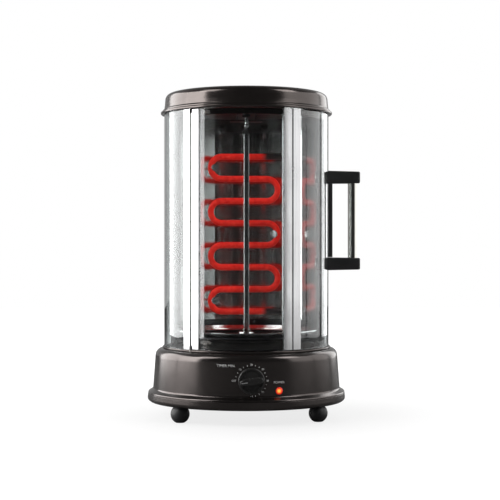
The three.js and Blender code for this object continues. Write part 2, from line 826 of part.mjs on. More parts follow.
function makeFixedCage() {
  const notchHeight = doorGap + hingeLugHeight + gap;
  const hingePost = upright(halfPostShape(hingeAngle, -1, glassSlot), cageBottom, cageTop);
  const lowNotch = onHinge(hingeLugRadius + gap, baseTop, cageBottom + notchHeight, smallTurn);
  const highNotch = onHinge(hingeLugRadius + gap, cageTop - notchHeight, totalHeight, smallTurn);
  add("post_hinge_side", cut(hingePost, lowNotch, highNotch), aluminium);

  const leftRear = wholePostShape(leftRearAngle, shellSlot, glassSlot);
  add("post_left_rear", upright(leftRear, cageBottom, cageTop), aluminium);
  const closing = halfPostShape(closingAngle, 1, shellSlot);
  add("post_closing_side", upright(closing, cageBottom, cageTop), aluminium);

  const pane = paneShape(leftRearAngle + paneInset, hingeAngle - paneInset);
  add("pane_left", upright(pane, cageBottom, cageTop), glass);

  const shellFrom = closingAngle + paneInset;
  const shellTo = leftRearAngle + 360 - paneInset;
  const shell = polarShape([
    [shellOuter - sheetThickness, shellFrom],
    [shellOuter, shellFrom],
    [shellOuter, shellTo],
    [shellOuter - sheetThickness, shellTo],
  ]);
  add("rear_shell", upright(shell, cageBottom, cageTop), darkSteel);

  const rearInner = shellOuter + gap;
  const rearPost = polarShape([
    [rearInner, rearAngle - halfPost],
    [postOuter, rearAngle - halfPost],
    [postOuter, rearAngle - halfGroove],
    [postOuter - postGroove, rearAngle - halfGroove],
    [postOuter - postGroove, rearAngle + halfGroove],
    [postOuter, rearAngle + halfGroove],
    [postOuter, rearAngle + halfPost],
    [rearInner, rearAngle + halfPost],
  ]);
  add("post_rear", upright(rearPost, cageBottom, cageTop), aluminium);

  const pinReach = lowerRingThickness + gap + doorGap + hingeLugHeight;
  const lowPin = onHinge(hingePinRadius, lowerRingBottom, lowerRingBottom + pinReach, smallTurn);
  add("hinge_pin_lower", lowPin, chrome);
  const pinEnd = upperRingBottom + upperRingThickness;
  add("hinge_pin_upper", onHinge(hingePinRadius, pinEnd - pinReach, pinEnd, smallTurn), chrome);
}

const stileAngle = closingAngle - (halfPost + halfGroove) / 2;
const handleMiddle = cageBottom + cageHeight * handleShare;
const upperArm = handleMiddle + handleSpan / 2 - armHeight / 2;
const lowerArm = handleMiddle - handleSpan / 2 + armHeight / 2;

function makeDoor() {
  const hingeStile = upright(halfPostShape(hingeAngle, 1, glassSlot), doorBottom, doorTop);
  const lowLug = onHinge(hingeLugRadius, doorBottom, doorBottom + hingeLugHeight, smallTurn);
  const highLug = onHinge(hingeLugRadius, doorTop - hingeLugHeight, doorTop, smallTurn);
  const pinBore = onHinge(hingePinRadius + runningFit, baseTop, totalHeight, smallTurn);
  add("door_hinge_stile", cut(joined(hingeStile, lowLug, highLug), pinBore), aluminium);

  const frontPane = paneShape(hingeAngle + paneInset, mullionAngle - paneInset);
  add("door_pane_front", upright(frontPane, doorBottom, doorTop), glass);
  const mullion = wholePostShape(mullionAngle, glassSlot, glassSlot);
  add("door_mullion", upright(mullion, doorBottom, doorTop), aluminium);
  const rightPane = paneShape(mullionAngle + paneInset, closingAngle - paneInset);
  add("door_pane_right", upright(rightPane, doorBottom, doorTop), glass);

  const handleStile = upright(halfPostShape(closingAngle, -1, glassSlot), doorBottom, doorTop);
  const screwHoles = [upperArm, lowerArm].map((height) => {
    const hole = towardsSide(disc(0, screwRadius + gap, postInner - 5, postOuter + 5, smallTurn));
    return facing(hole.translate(0, 0, height), stileAngle);
  });
  add("door_handle_stile", cut(handleStile, ...screwHoles), aluminium);

  const railOuter = postInner - gap;
  const rail = polarShape([
    [railOuter - railThickness, hingeAngle + halfGroove],
    [railOuter, hingeAngle + halfGroove],
    [railOuter, closingAngle - halfGroove],
    [railOuter - railThickness, closingAngle - halfGroove],
  ]);
  add("door_rail_lower", upright(rail, doorBottom, doorBottom + railHeight), satinBlack);
  add("door_rail_upper", upright(rail, doorTop - railHeight, doorTop), satinBlack);
}

// ---------------------------------------------------------------- handle

const handleFoot = postOuter + gap;
const armTip = cageRadius + handleReach;
const gripAxis = armTip - gripInset;
const gripRadius = gripDiameter / 2;
const innerBarOuter = Math.sqrt(postInner ** 2 - (innerBarWidth / 2) ** 2) - gap;

// One arm, made along +X about its own middle height; flip is 1 when the grip hangs below it.
function armGeometry(height, flip) {
  const half = armHeight / 2;
  const corner = armCorner;
  const tipHalf = half - armSlim;
  const chamfer = 1.2;
  const outline = new THREE.Shape([
    point(handleFoot, -half),
    point(handleFoot + 4 * corner, -tipHalf),
    ...bend(armTip - corner, corner - tipHalf, corner, -90, 0, 3),
    ...bend(armTip - corner, tipHalf - corner, corner, 0, 90, 3),
    point(handleFoot + 4 * corner, tipHalf),
    point(handleFoot, half),
  ]);
  const arm = new THREE.ExtrudeGeometry(outline, {
    depth: armWidth - 2 * chamfer,
    bevelThickness: chamfer,
    bevelSize: chamfer,
    bevelOffset: -chamfer,
    bevelSegments: 1,
  });
  arm.translate(0, 0, -armWidth / 2 + chamfer).rotateX(90 * degrees);
  const seatFloor = gripSeat + gap - tipHalf;
  const seat = disc(0, gripRadius + gap, -armHeight, seatFloor, smallTurn);
  const screwHole = towardsSide(disc(0, screwRadius + gap, postInner, handleFoot + screwDepth, smallTurn));
  const bored = cut(arm, seat.translate(gripAxis, 0, 0), screwHole);
  if (flip < 0) {
    bored.rotateX(180 * degrees);
  }
  return facing(bored.translate(0, 0, height), stileAngle);
}

// The bar inside the door that the two handle screws clamp, thicker under each screw head.
function innerBarGeometry() {
  const blockHalf = armHeight / 2 - armSlim;
  const blockInner = innerBarOuter - innerBlockThickness;
  const barInner = innerBarOuter - innerBarThickness;
  const outline = [
    point(innerBarOuter, lowerArm - blockHalf),
    point(innerBarOuter, upperArm + blockHalf),
    point(blockInner, upperArm + blockHalf),
    point(blockInner, upperArm - blockHalf),
    point(barInner, upperArm - blockHalf),
    point(barInner, lowerArm + blockHalf),
    point(blockInner, lowerArm + blockHalf),
    point(blockInner, lowerArm - blockHalf),
  ];
  const holes = [upperArm, lowerArm].map((height) => {
    const hole = towardsSide(disc(0, screwRadius + gap, blockInner - 1, postInner, smallTurn));
    return hole.translate(0, 0, height);
  });
  return facing(cut(sideways(outline, innerBarWidth), ...holes), stileAngle);
}

function makeHandle() {
  add("handle_arm_upper", armGeometry(upperArm, 1), blackPlastic);
  add("handle_arm_lower", armGeometry(lowerArm, -1), blackPlastic);

  const gripTop = upperArm - armHeight / 2 + armSlim + gripSeat;
  const gripBottom = lowerArm + armHeight / 2 - armSlim - gripSeat;
  const edge = 1;
  const grip = turned(
    [
      point(0, gripBottom),
      point(gripRadius - edge, gripBottom),
      point(gripRadius, gripBottom + edge),
      point(gripRadius, gripTop - edge),
      point(gripRadius - edge, gripTop),
      point(0, gripTop),
    ],
    smallTurn,
  );
  add("handle_grip", facing(grip.translate(gripAxis, 0, 0), stileAngle), chrome);

  const plateHeight = upperArm - lowerArm - armHeight - 2 * gap;
  const plate = box(backPlateThickness, armWidth, plateHeight);
  plate.translate(handleFoot + backPlateThickness / 2, 0, handleMiddle);
  add("handle_back_plate", facing(plate, stileAngle), blackPlastic);

  add("handle_inner_bar", innerBarGeometry(), blackPlastic);

  for (const [name, height] of [["handle_screw_upper", upperArm], ["handle_screw_lower", lowerArm]]) {
    const headHeight = 2;
    const headTop = innerBarOuter - innerBlockThickness - gap;
    const screwEnd = handleFoot + screwDepth - 2;
    const screw = turned(
      [
        point(0, headTop - headHeight),
        point(screwHeadRadius * 0.7, headTop - headHeight),
        point(screwHeadRadius, headTop - headHeight / 2),
        point(screwHeadRadius, headTop),
        point(screwRadius, headTop),
        point(screwRadius, screwEnd),
        point(0, screwEnd),
      ],
      smallTurn,
    );
    add(name, facing(towardsSide(screw).translate(0, 0, height), stileAngle), chrome);
  }
}

makeFixedCage();
makeDoor();
makeHandle();

// ---------------------------------------------------------------- roasting space

const trayRim = baseTop + trayRimRise;
const trayRadius = cageRadius - trayInset;
const trayFloor = trayRim - trayDepth;

function makeTray() {
  const hub = socketRadius + trayHubClearance;
  const line = [
    point(hub, trayRim - 4),
    point(hub + 3, trayRim - 4.5),
    point(hub + 6, trayFloor + 1),
    point(trayRadius - carrierInset, trayFloor),
    point(trayRadius - 8, trayFloor + 3),
    point(trayRadius - 4, trayRim - 1),
    point(trayRadius - 2.5, trayRim),
    point(trayRadius, trayRim - 0.6),
  ];
  add("drip_tray", turned(sheetOutline(line, trayWall), middleTurn), polishedSteel);

  const wallOuter = trayRadius - carrierInset;
  const carrierTop = trayFloor - trayWall - gap;
  const carrier = turned(
    [
      point(wallOuter - carrierWall, deckTop + gap),
      point(wallOuter + carrierFlange, deckTop + gap),
      point(wallOuter + carrierFlange, deckTop + gap + carrierWall),
      point(wallOuter, deckTop + gap + carrierWall),
      point(wallOuter, carrierTop),
      point(wallOuter - carrierWall, carrierTop),
    ],
    middleTurn,
  );
  add("tray_carrier", carrier, satinBlack);
}

// A square rod with a square foot, a necked top, a ball and a pin.
function makeSpit() {
  const footBottom = socketTop - spitEndDepth;
  const bracketBottom = innerPlateBottom - gap - bracketDrop;
  const ballTop = bracketBottom - 2;
  const ballHeight = ballTop - spitBallRadius;
  const neckHeight = ballHeight - spitBallRadius - 2;
  const shoulder = neckHeight - 6;
  const rod = box(spitWidth, spitWidth, shoulder - footBottom);
  rod.translate(0, 0, (shoulder + footBottom) / 2);
  const neck = spitWidth * 0.3;
  const top = turned(
    [
      point(0, shoulder - 4),
      point(spitWidth * 0.49, shoulder - 2),
      point(neck, neckHeight),
      point(neck, ballHeight - spitBallRadius * 0.8),
      ...bend(0, ballHeight, spitBallRadius, -42, 50, 6),
      point(spitPinRadius, ballTop),
      point(spitPinRadius, pinTop - 1),
      point(spitPinRadius * 0.5, pinTop),
      point(0, pinTop),
    ],
    shaftTurn,
  );
  add("spit_rod", joined(rod, top), polishedSteel);
}

const tubeRadius = heaterTube / 2;
const heaterWidth = 2 * cageRadius * heaterWidthShare;
const heaterBack = cageRadius * heaterBackShare;
const heaterEnd = cageRadius * heaterEndShare;
const reflectorDepth = cageRadius * reflectorDepthShare;
const lowestRun = cageBottom + cageHeight * heaterLowShare;
const highestRun = cageBottom + cageHeight * heaterHighShare;
const runPitch = (highestRun - lowestRun) / (heaterRuns - 1);
const bendCentre = heaterWidth / 2 - tubeRadius - runPitch / 2;
const insulatorRadius = tubeRadius + insulatorWall;

// A line through given stations that a tube can be drawn along.
class StationCurve extends THREE.Curve {
  constructor(stations) {
    super();
    this.stations = stations;
  }

  getPointAt(share) {
    return this.stations[Math.round(share * (this.stations.length - 1))].clone();
  }

  getTangentAt(share) {
    const index = Math.round(share * (this.stations.length - 1));
    const after = this.stations[Math.min(index + 1, this.stations.length - 1)];
    const before = this.stations[Math.max(index - 1, 0)];
    return after.clone().sub(before).normalize();
  }
}

// Level runs joined by half-circle bends; both ends go through the reflector on the handle side.
function heaterStations() {
  const bendSteps = 8;
  const stations = [new THREE.Vector3(heaterEnd, heaterBack, highestRun)];
  for (let run = 0; run < heaterRuns - 1; run += 1) {
    const side = run % 2 === 0 ? -1 : 1;
    const middle = highestRun - (run + 0.5) * runPitch;
    for (let step = 0; step <= bendSteps; step += 1) {
      const angle = (90 - (180 * step) / bendSteps) * degrees;
      const across = side * (bendCentre + (runPitch / 2) * Math.cos(angle));
      stations.push(new THREE.Vector3(across, heaterBack, middle + (runPitch / 2) * Math.sin(angle)));
    }
  }
  stations.push(new THREE.Vector3(heaterEnd, heaterBack, lowestRun));
  return stations;
}

function makeHeater() {
  const stations = heaterStations();
  const section = new THREE.Shape().absarc(0, 0, tubeRadius, 0, 360 * degrees);
  const tube = new THREE.ExtrudeGeometry(section, {
    steps: stations.length - 1,
    curveSegments: 5,
    extrudePath: new StationCurve(stations),
  });
  add("heater_tube", tube, glowingTube);

  for (const [name, height] of [["insulator_upper", highestRun], ["insulator_lower", lowestRun]]) {
    const front = heaterEnd - 1 - insulatorLength;
    const bead = towardsSide(disc(tubeRadius + gap, insulatorRadius, front, heaterEnd - 1, smallTurn));
    add(name, bead.translate(0, heaterBack, height), ceramic);
  }
}

// A pin with a washer head that holds a heater bend off the reflector.
function makeHeaterPin(name, side, gapBelowRun) {
  const pinRadius = heaterPinRadius;
  const headReach = tubeRadius + gap;
  const across = side * (bendCentre + runPitch / 2 - tubeRadius - gap - pinRadius);
  const height = highestRun - (gapBelowRun + 0.5) * runPitch;
  const sheetFront = Math.min(reflectorAt(across - pinRadius), reflectorAt(across + pinRadius));
  const back = sheetFront - gap - heaterBack;
  const pin = turned(
    [
      point(0, -back),
      point(pinRadius, -back),
      point(pinRadius, headReach),
      point(pinRadius + heaterWasher, headReach),
      point(pinRadius + heaterWasher, headReach + 1),
      point(0, headReach + 1.6),
    ],
    smallTurn,
  );
  add(name, towardsFront(pin).translate(across, heaterBack, height), polishedSteel);
}

// The folds of the reflector in plan, from the closing post round the back to the left rear post.
const reflectorLine = Array.from({ length: reflectorFacets + 1 }, (unused, index) => {
  const share = index / reflectorFacets;
  const from = closingAngle + reflectorMargin;
  const to = leftRearAngle + 360 - reflectorMargin;
  const radius = ringInner - sheetThickness - 3 * gap - reflectorDepth * Math.sin(share * Math.PI);
  return polar(radius, from + (to - from) * share);
});

// How far behind the spit the front face of the reflector is at a place across it.
function reflectorAt(across) {
  const index = reflectorLine.findIndex((fold) => fold.x < across);
  const before = reflectorLine[index - 1];
  const after = reflectorLine[index];
  const share = (before.x - across) / (before.x - after.x);
  return before.y + (after.y - before.y) * share;
}

function makeReflector() {
  const sheet = upright(
    new THREE.Shape(sheetOutline(reflectorLine, sheetThickness)),
    trayRim + trayLift + 1,
    innerPlateBottom - gap,
  );
  const holes = [highestRun, lowestRun].map((height) => {
    const hole = towardsSide(disc(0, insulatorRadius + 2 * gap, bendCentre, cageRadius, smallTurn));
    return hole.translate(0, heaterBack, height);
  });
  add("reflector", cut(sheet, ...holes), polishedSteel);

  const cutout = towardsFront(disc(0, cutoutRadius, -cutoutDepth, 0, smallTurn));
  cutout.translate(0, reflectorAt(0) + sheetThickness + 1, handleMiddle);
  add("thermal_cutout", cutout, blackPlastic);
}

makeTray();
makeSpit();
makeHeater();
makeHeaterPin("heater_pin_upper", -1, 0);
makeHeaterPin("heater_pin_lower", -1, heaterRuns - 2);
makeHeaterPin("heater_pin_middle", 1, 3);
makeReflector();

// The footprint is centred on the origin: the handle and the knob push the spit axis off it.
const handleEdge = polar(armTip, stileAngle).x + Math.abs((armWidth / 2) * Math.cos(stileAngle * degrees));
const rearEdge = skirtRadius * skirtDepthShare;
const frontEdge = panelDistance + knobDepth;
oven.position.set((skirtRadius - handleEdge) / 2, (frontEdge - rearEdge) / 2, 0);

export default oven;
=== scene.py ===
"""Finished surfaces and finishes for a countertop vertical rotisserie oven, laid out as an add-on."""

import math

import bmesh
import bpy
import numpy as np
from bpy.props import FloatProperty, FloatVectorProperty, PointerProperty
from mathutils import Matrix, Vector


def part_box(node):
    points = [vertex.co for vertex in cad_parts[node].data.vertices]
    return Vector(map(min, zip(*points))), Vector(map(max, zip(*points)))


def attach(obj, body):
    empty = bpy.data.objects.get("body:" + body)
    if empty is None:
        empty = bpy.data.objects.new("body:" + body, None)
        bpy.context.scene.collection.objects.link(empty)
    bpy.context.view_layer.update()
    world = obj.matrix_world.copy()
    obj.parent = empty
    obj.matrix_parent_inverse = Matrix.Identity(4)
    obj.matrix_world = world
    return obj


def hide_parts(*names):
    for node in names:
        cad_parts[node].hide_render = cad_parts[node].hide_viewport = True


bl_info = {
    "name": "Vertical rotisserie oven",
    "version": (1, 0, 0),
    "blender": (4, 5, 0),
    "location": "View3D > Sidebar > Rotisserie",
    "description": "Builds the finished pieces of a glazed vertical rotisserie oven on its CAD frame",
    "category": "Object",
}

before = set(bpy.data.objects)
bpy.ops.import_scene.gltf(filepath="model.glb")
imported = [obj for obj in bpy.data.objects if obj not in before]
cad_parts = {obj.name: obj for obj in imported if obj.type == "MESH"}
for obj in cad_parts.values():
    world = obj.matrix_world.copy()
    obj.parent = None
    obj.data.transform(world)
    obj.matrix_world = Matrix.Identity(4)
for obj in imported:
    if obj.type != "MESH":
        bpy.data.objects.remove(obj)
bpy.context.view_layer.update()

MM = 0.001


def node_heights(node):
    """Lowest and highest Z of a CAD node."""
    low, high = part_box(node)
    return low.z, high.z


def node_middle(node):
    """Middle of a CAD node's box."""
    low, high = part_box(node)
    return (low + high) / 2


def node_radius(node):
    """Half the width of a CAD node's box, the radius of a round one."""
    low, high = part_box(node)
    return (high.x - low.x) / 2


SPIT_X, SPIT_Y = node_middle("drive_shaft").xy
CAGE_TURN = -7.0
SECTOR = 72.0
HINGE_ANGLE = CAGE_TURN - SECTOR / 2
MULLION_ANGLE = CAGE_TURN + SECTOR / 2
CLOSING_ANGLE = CAGE_TURN + 1.5 * SECTOR
REAR_ANGLE = CAGE_TURN + 2.5 * SECTOR
LEFT_REAR_ANGLE = CAGE_TURN - 1.5 * SECTOR
GLASS_RADIUS = node_radius("lower_ring") - 2 * MM
POST_FACE = GLASS_RADIUS + 1.2 * MM
POST_BACK = GLASS_RADIUS - 5.5 * MM
HALF_POST = math.degrees(14 * MM / GLASS_RADIUS)
HALF_GROOVE = math.degrees(0.9 * MM / GLASS_RADIUS)


# ------------------------------------------------------------------ sizes and colours


class OvenSettings(bpy.types.PropertyGroup):
    """Sizes and colours of the oven that a user may change."""

    housing_colour: FloatVectorProperty(
        name="Housing colour", description="Paint of the base", subtype="COLOR", size=3,
        default=(0.078, 0.069, 0.066), min=0, max=1,
    )
    trim_colour: FloatVectorProperty(
        name="Trim colour", description="Paint of the cap, rings and rails", subtype="COLOR", size=3,
        default=(0.080, 0.070, 0.066), min=0, max=1,
    )
    heater_colour: FloatVectorProperty(
        name="Heater glow", description="Colour of the hot tube", subtype="COLOR", size=3,
        default=(0.86, 0.022, 0.016), min=0, max=1,
    )
    heater_strength: FloatProperty(
        name="Heater strength", description="How brightly the hot tube glows", default=0.78, min=0, max=20,
    )
    cap_fillet: FloatProperty(
        name="Cap edge", description="Radius of the rounded top edge of the cap",
        default=9 * MM, min=1 * MM, max=20 * MM, subtype="DISTANCE", unit="LENGTH",
    )
    groove_depth: FloatProperty(
        name="Post groove", description="Depth of the groove down each post",
        default=1.6 * MM, min=0.2 * MM, max=3 * MM, subtype="DISTANCE", unit="LENGTH",
    )
    mark_radius: FloatProperty(
        name="Dial scale radius", description="Radius of the ring of minute marks round the knob",
        default=21.8 * MM, min=18 * MM, max=30 * MM, subtype="DISTANCE", unit="LENGTH",
    )
    knob_turn: FloatProperty(
        name="Knob bar angle", description="Tilt of the finger bar at the off mark",
        default=math.radians(8), min=-math.pi, max=math.pi, subtype="ANGLE",
    )


def settings():
    """The sizes and colours chosen in the panel."""
    return bpy.context.scene.rotisserie_oven


# ------------------------------------------------------------------ surfaces


def rounded(corners, closed=True, steps=6):
    """A line of (x, y, radius) corners; each corner with a radius becomes an arc.

    The arc is the rational quadratic curve through the two tangent points, weighted by the
    sine of half the angle between the sides, which is a true circle. One more point on each
    straight side next to the arc keeps the shading of the side flat.
    """
    corners = np.array(corners, float)
    count = len(corners)
    share = np.linspace(0, 1, steps + 1)[:, None]
    parts = []
    for index in range(count):
        here = corners[index, :2]
        radius = corners[index, 2]
        if radius <= 0 or (not closed and index in (0, count - 1)):
            parts.append(here[None])
            continue
        before = corners[index - 1, :2] - here
        after = corners[(index + 1) % count, :2] - here
        length_before = np.linalg.norm(before)
        length_after = np.linalg.norm(after)
        half = math.acos(np.clip(before @ after / (length_before * length_after), -1, 1)) / 2
        reach = min(radius / math.tan(half), 0.49 * length_before, 0.49 * length_after)
        start = here + before / length_before * reach
        end = here + after / length_after * reach
        middle = 2 * share * (1 - share) * math.sin(half)
        weight = (1 - share) ** 2 + middle + share**2
        arc = ((1 - share) ** 2 * start + middle * here + share**2 * end) / weight
        step = 0.3 * reach
        if length_before > 2.8 * reach:
            arc = np.concatenate([[start + before / length_before * step], arc])
        if length_after > 2.8 * reach:
            arc = np.concatenate([arc, [end + after / length_after * step]])
        parts.append(arc)
    return np.concatenate(parts)


def signed_area(outline):
    """Half the sum of the cross products round a closed outline, positive when it runs anticlockwise."""
    following = np.roll(outline, -1, axis=0)
    return 0.5 * np.sum(outline[:, 0] * following[:, 1] - following[:, 0] * outline[:, 1])


def quads(index):
    """Four-sided faces between neighbouring rows and columns of an index table."""
    return np.stack([index[:-1, :-1], index[:-1, 1:], index[1:, 1:], index[1:, :-1]], -1).reshape(-1, 4)


def turned(profile, sides=144, about=(0.0, 0.0)):
    """A profile of (radius, height) carried round a full circle.

    x = radius sin(a), y = -radius cos(a), z = height. Points on the axis become single poles, and
    a profile that doesn't start and end on the axis closes on itself.
    """
    profile = np.array(profile, float)
    if signed_area(profile) < 0:
        profile = profile[::-1]
    poles = profile[:, 0] < 1e-9
    angle = np.linspace(0, 2 * np.pi, sides, endpoint=False)
    rings = np.stack(
        [
            about[0] + profile[:, :1] * np.sin(angle),
            about[1] - profile[:, :1] * np.cos(angle),
            np.repeat(profile[:, 1:], sides, 1),
        ],
        -1,
    )
    index = np.arange(rings.shape[0] * sides).reshape(-1, sides)
    index[poles] = index[poles][:, :1]
    index = np.concatenate([index, index[:, :1]], 1)
    if not poles.any():
        index = np.concatenate([index, index[:1]], 0)
    return rings.reshape(-1, 3), quads(index)


def polar_outline(corners, steps=4, fineness=1.0):
    """A plan outline from (radius, angle, fillet) corners; corners on one radius are joined by an arc."""
    points = []
    for index, (radius, angle, fillet) in enumerate(corners):
        next_radius, next_angle, _ = corners[(index + 1) % len(corners)]
        points.append((radius, angle, fillet))
        if abs(next_radius - radius) < 1e-9 and abs(next_angle - angle) > fineness:
            count = int(abs(next_angle - angle) / fineness)
            extra = np.linspace(angle, next_angle, count + 2)[1:-1]
            points.extend((radius, value, 0.0) for value in extra)
    table = np.array(points)
    turn = np.radians(table[:, 1])
    plan = np.stack(
        [SPIT_X + table[:, 0] * np.sin(turn), SPIT_Y - table[:, 0] * np.cos(turn), table[:, 2]], -1
    )
    return rounded(plan, steps=steps)


def raised(outline, bottom, top, edge=0.0):
    """A plan outline raised from bottom to top, its end edges drawn in by a quarter-round of size edge.

    A level at angle t of the quarter-round stands edge (1 - cos t) from the end and is drawn in by
    edge (1 - sin t) along the outline's normals.
    """
    if signed_area(outline) < 0:
        outline = outline[::-1]
    along = np.roll(outline, -1, 0) - np.roll(outline, 1, 0)
    along /= np.linalg.norm(along, axis=1)[:, None] + 1e-12
    away = np.stack([along[:, 1], -along[:, 0]], -1)
    turn = np.linspace(0, np.pi / 2, 4)
    inset = edge * (1 - np.append(np.sin(turn), 1))
    rise = edge * (1 - np.append(np.cos(turn), -0.5))
    levels = np.concatenate([bottom + rise, (top - rise)[::-1]])
    draw = np.concatenate([inset, inset[::-1]])
    if edge <= 0:
        levels = np.array([bottom, top])
        draw = np.zeros(2)
    plan = outline[None] - draw[:, None, None] * away[None]
    points = np.concatenate([plan, np.broadcast_to(levels[:, None, None], plan.shape[:2] + (1,))], -1)
    count = len(outline)
    index = np.arange(points.shape[0] * count).reshape(-1, count)
    sides = quads(np.concatenate([index, index[:, :1]], 1))
    return points.reshape(-1, 3), sides.tolist() + [index[0, ::-1].tolist(), index[-1].tolist()]


def lofted(rows):
    """A skin over closed rows of points, its two ends closed by their first and last row."""
    rows = np.asarray(rows, float)
    count = rows.shape[1]
    index = np.arange(rows.shape[0] * count).reshape(-1, count)
    sides = quads(np.concatenate([index, index[:, :1]], 1))
    return rows.reshape(-1, 3), sides.tolist() + [index[0, ::-1].tolist(), index[-1].tolist()]


def superellipse(half_wide, half_high, power, count=32):
    """Rows of |x/a|^p + |y/b|^p = 1, with one a, b and p for each row."""
    angle = np.linspace(0, 2 * np.pi, count, endpoint=False)
    cosine = np.cos(angle)
    sine = np.sin(angle)
    exponent = 2 / np.asarray(power, float)[:, None]
    across = np.asarray(half_wide)[:, None] * np.sign(cosine) * np.abs(cosine) ** exponent
    up = np.asarray(half_high)[:, None] * np.sign(sine) * np.abs(sine) ** exponent
    return across, up


def swept(path, radius, normal, sides=20):
    """A round tube along a flat path: centre + r cos(a) normal + r sin(a) (tangent x normal)."""
    path = np.asarray(path, float)
    tangent = np.gradient(path, axis=0)
    tangent /= np.linalg.norm(tangent, axis=1)[:, None]
    side = np.cross(tangent, normal)
    angle = np.linspace(0, 2 * np.pi, sides, endpoint=False)
    cosine = np.cos(angle)[None, :, None]
    sine = np.sin(angle)[None, :, None]
    around = cosine * np.asarray(normal)[None, None] + sine * side[:, None]
    size = np.broadcast_to(np.asarray(radius, float), len(path))[:, None, None]
    return lofted(path[:, None] + size * around)


def outward(points, angle, radius, height):
    """Points made with x away from the spit, y along the cage and z up, set at an angle from the front."""
    turn = math.radians(angle)
    away = np.array([math.sin(turn), -math.cos(turn), 0.0])
    along = np.array([math.cos(turn), math.sin(turn), 0.0])
    points = np.asarray(points, float)
    centre = np.array([SPIT_X, SPIT_Y, height]) + away * radius
    return centre + points[:, :1] * away + points[:, 1:2] * along + points[:, 2:] * np.array([0, 0, 1.0])


def laid(points, forward):
    """Points made upright, turned so that their Z points forward along the given direction."""
    forward = np.array(forward, float) / np.linalg.norm(forward)
    side = np.cross([0, 0, 1.0], forward)
    side /= np.linalg.norm(side)
    up = np.cross(forward, side)
    points = np.asarray(points, float)
    return points[:, :1] * side + points[:, 1:2] * up + points[:, 2:] * forward


def spun(points, turn):
    """Points turned about Z: x cos t - y sin t and x sin t + y cos t, with any height as it was."""
    across = points[:, 0] * math.cos(turn) - points[:, 1] * math.sin(turn)
    up = points[:, 0] * math.sin(turn) + points[:, 1] * math.cos(turn)
    return np.concatenate([np.stack([across, up], -1), points[:, 2:]], 1)


def joined(*solids):
    """Several skins as one list of points and faces."""
    points = []
    faces = []
    start = 0
    for solid_points, solid_faces in solids:
        points.append(np.asarray(solid_points, float))
        faces.extend([[start + corner for corner in face] for face in solid_faces])
        start += len(solid_points)
    return np.concatenate(points), faces


def without_repeats(face):
    """A face without corners that repeat the one before, such as those at a pole."""
    return [corner for place, corner in enumerate(face) if corner != face[place - 1]]


def piece(name, solid, finish, body, replaces=(), crease=38):
    """Puts points and faces into an object at the origin, with its finish and the body it rides on."""
    points, faces = solid
    mesh = bpy.data.meshes.new(name)
    outlines = [without_repeats(face) for face in (faces if isinstance(faces, list) else faces.tolist())]
    mesh.from_pydata(np.asarray(points).tolist(), [], [face for face in outlines if len(face) > 2])
    mesh.validate()
    used = np.zeros(len(mesh.vertices), bool)
    corners = np.zeros(len(mesh.loops), np.int32)
    mesh.loops.foreach_get("vertex_index", corners)
    used[corners] = True
    if not used.all():
        drop_loose(mesh)
    mesh.shade_smooth()
    mesh.set_sharp_from_angle(angle=math.radians(crease))
    made = bpy.data.objects.new(name, mesh)
    bpy.context.scene.collection.objects.link(made)
    mesh.materials.append(finish)
    if replaces:
        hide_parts(*replaces)
    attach(made, body)
    return made


def drop_loose(mesh):
    """Removes points that no face uses, such as the spare copies of a pole."""
    work = bmesh.new()
    work.from_mesh(mesh)
    bmesh.ops.delete(work, geom=[vertex for vertex in work.verts if not vertex.link_faces], context="VERTS")
    work.to_mesh(mesh)
    work.free()


# ------------------------------------------------------------------ finishes


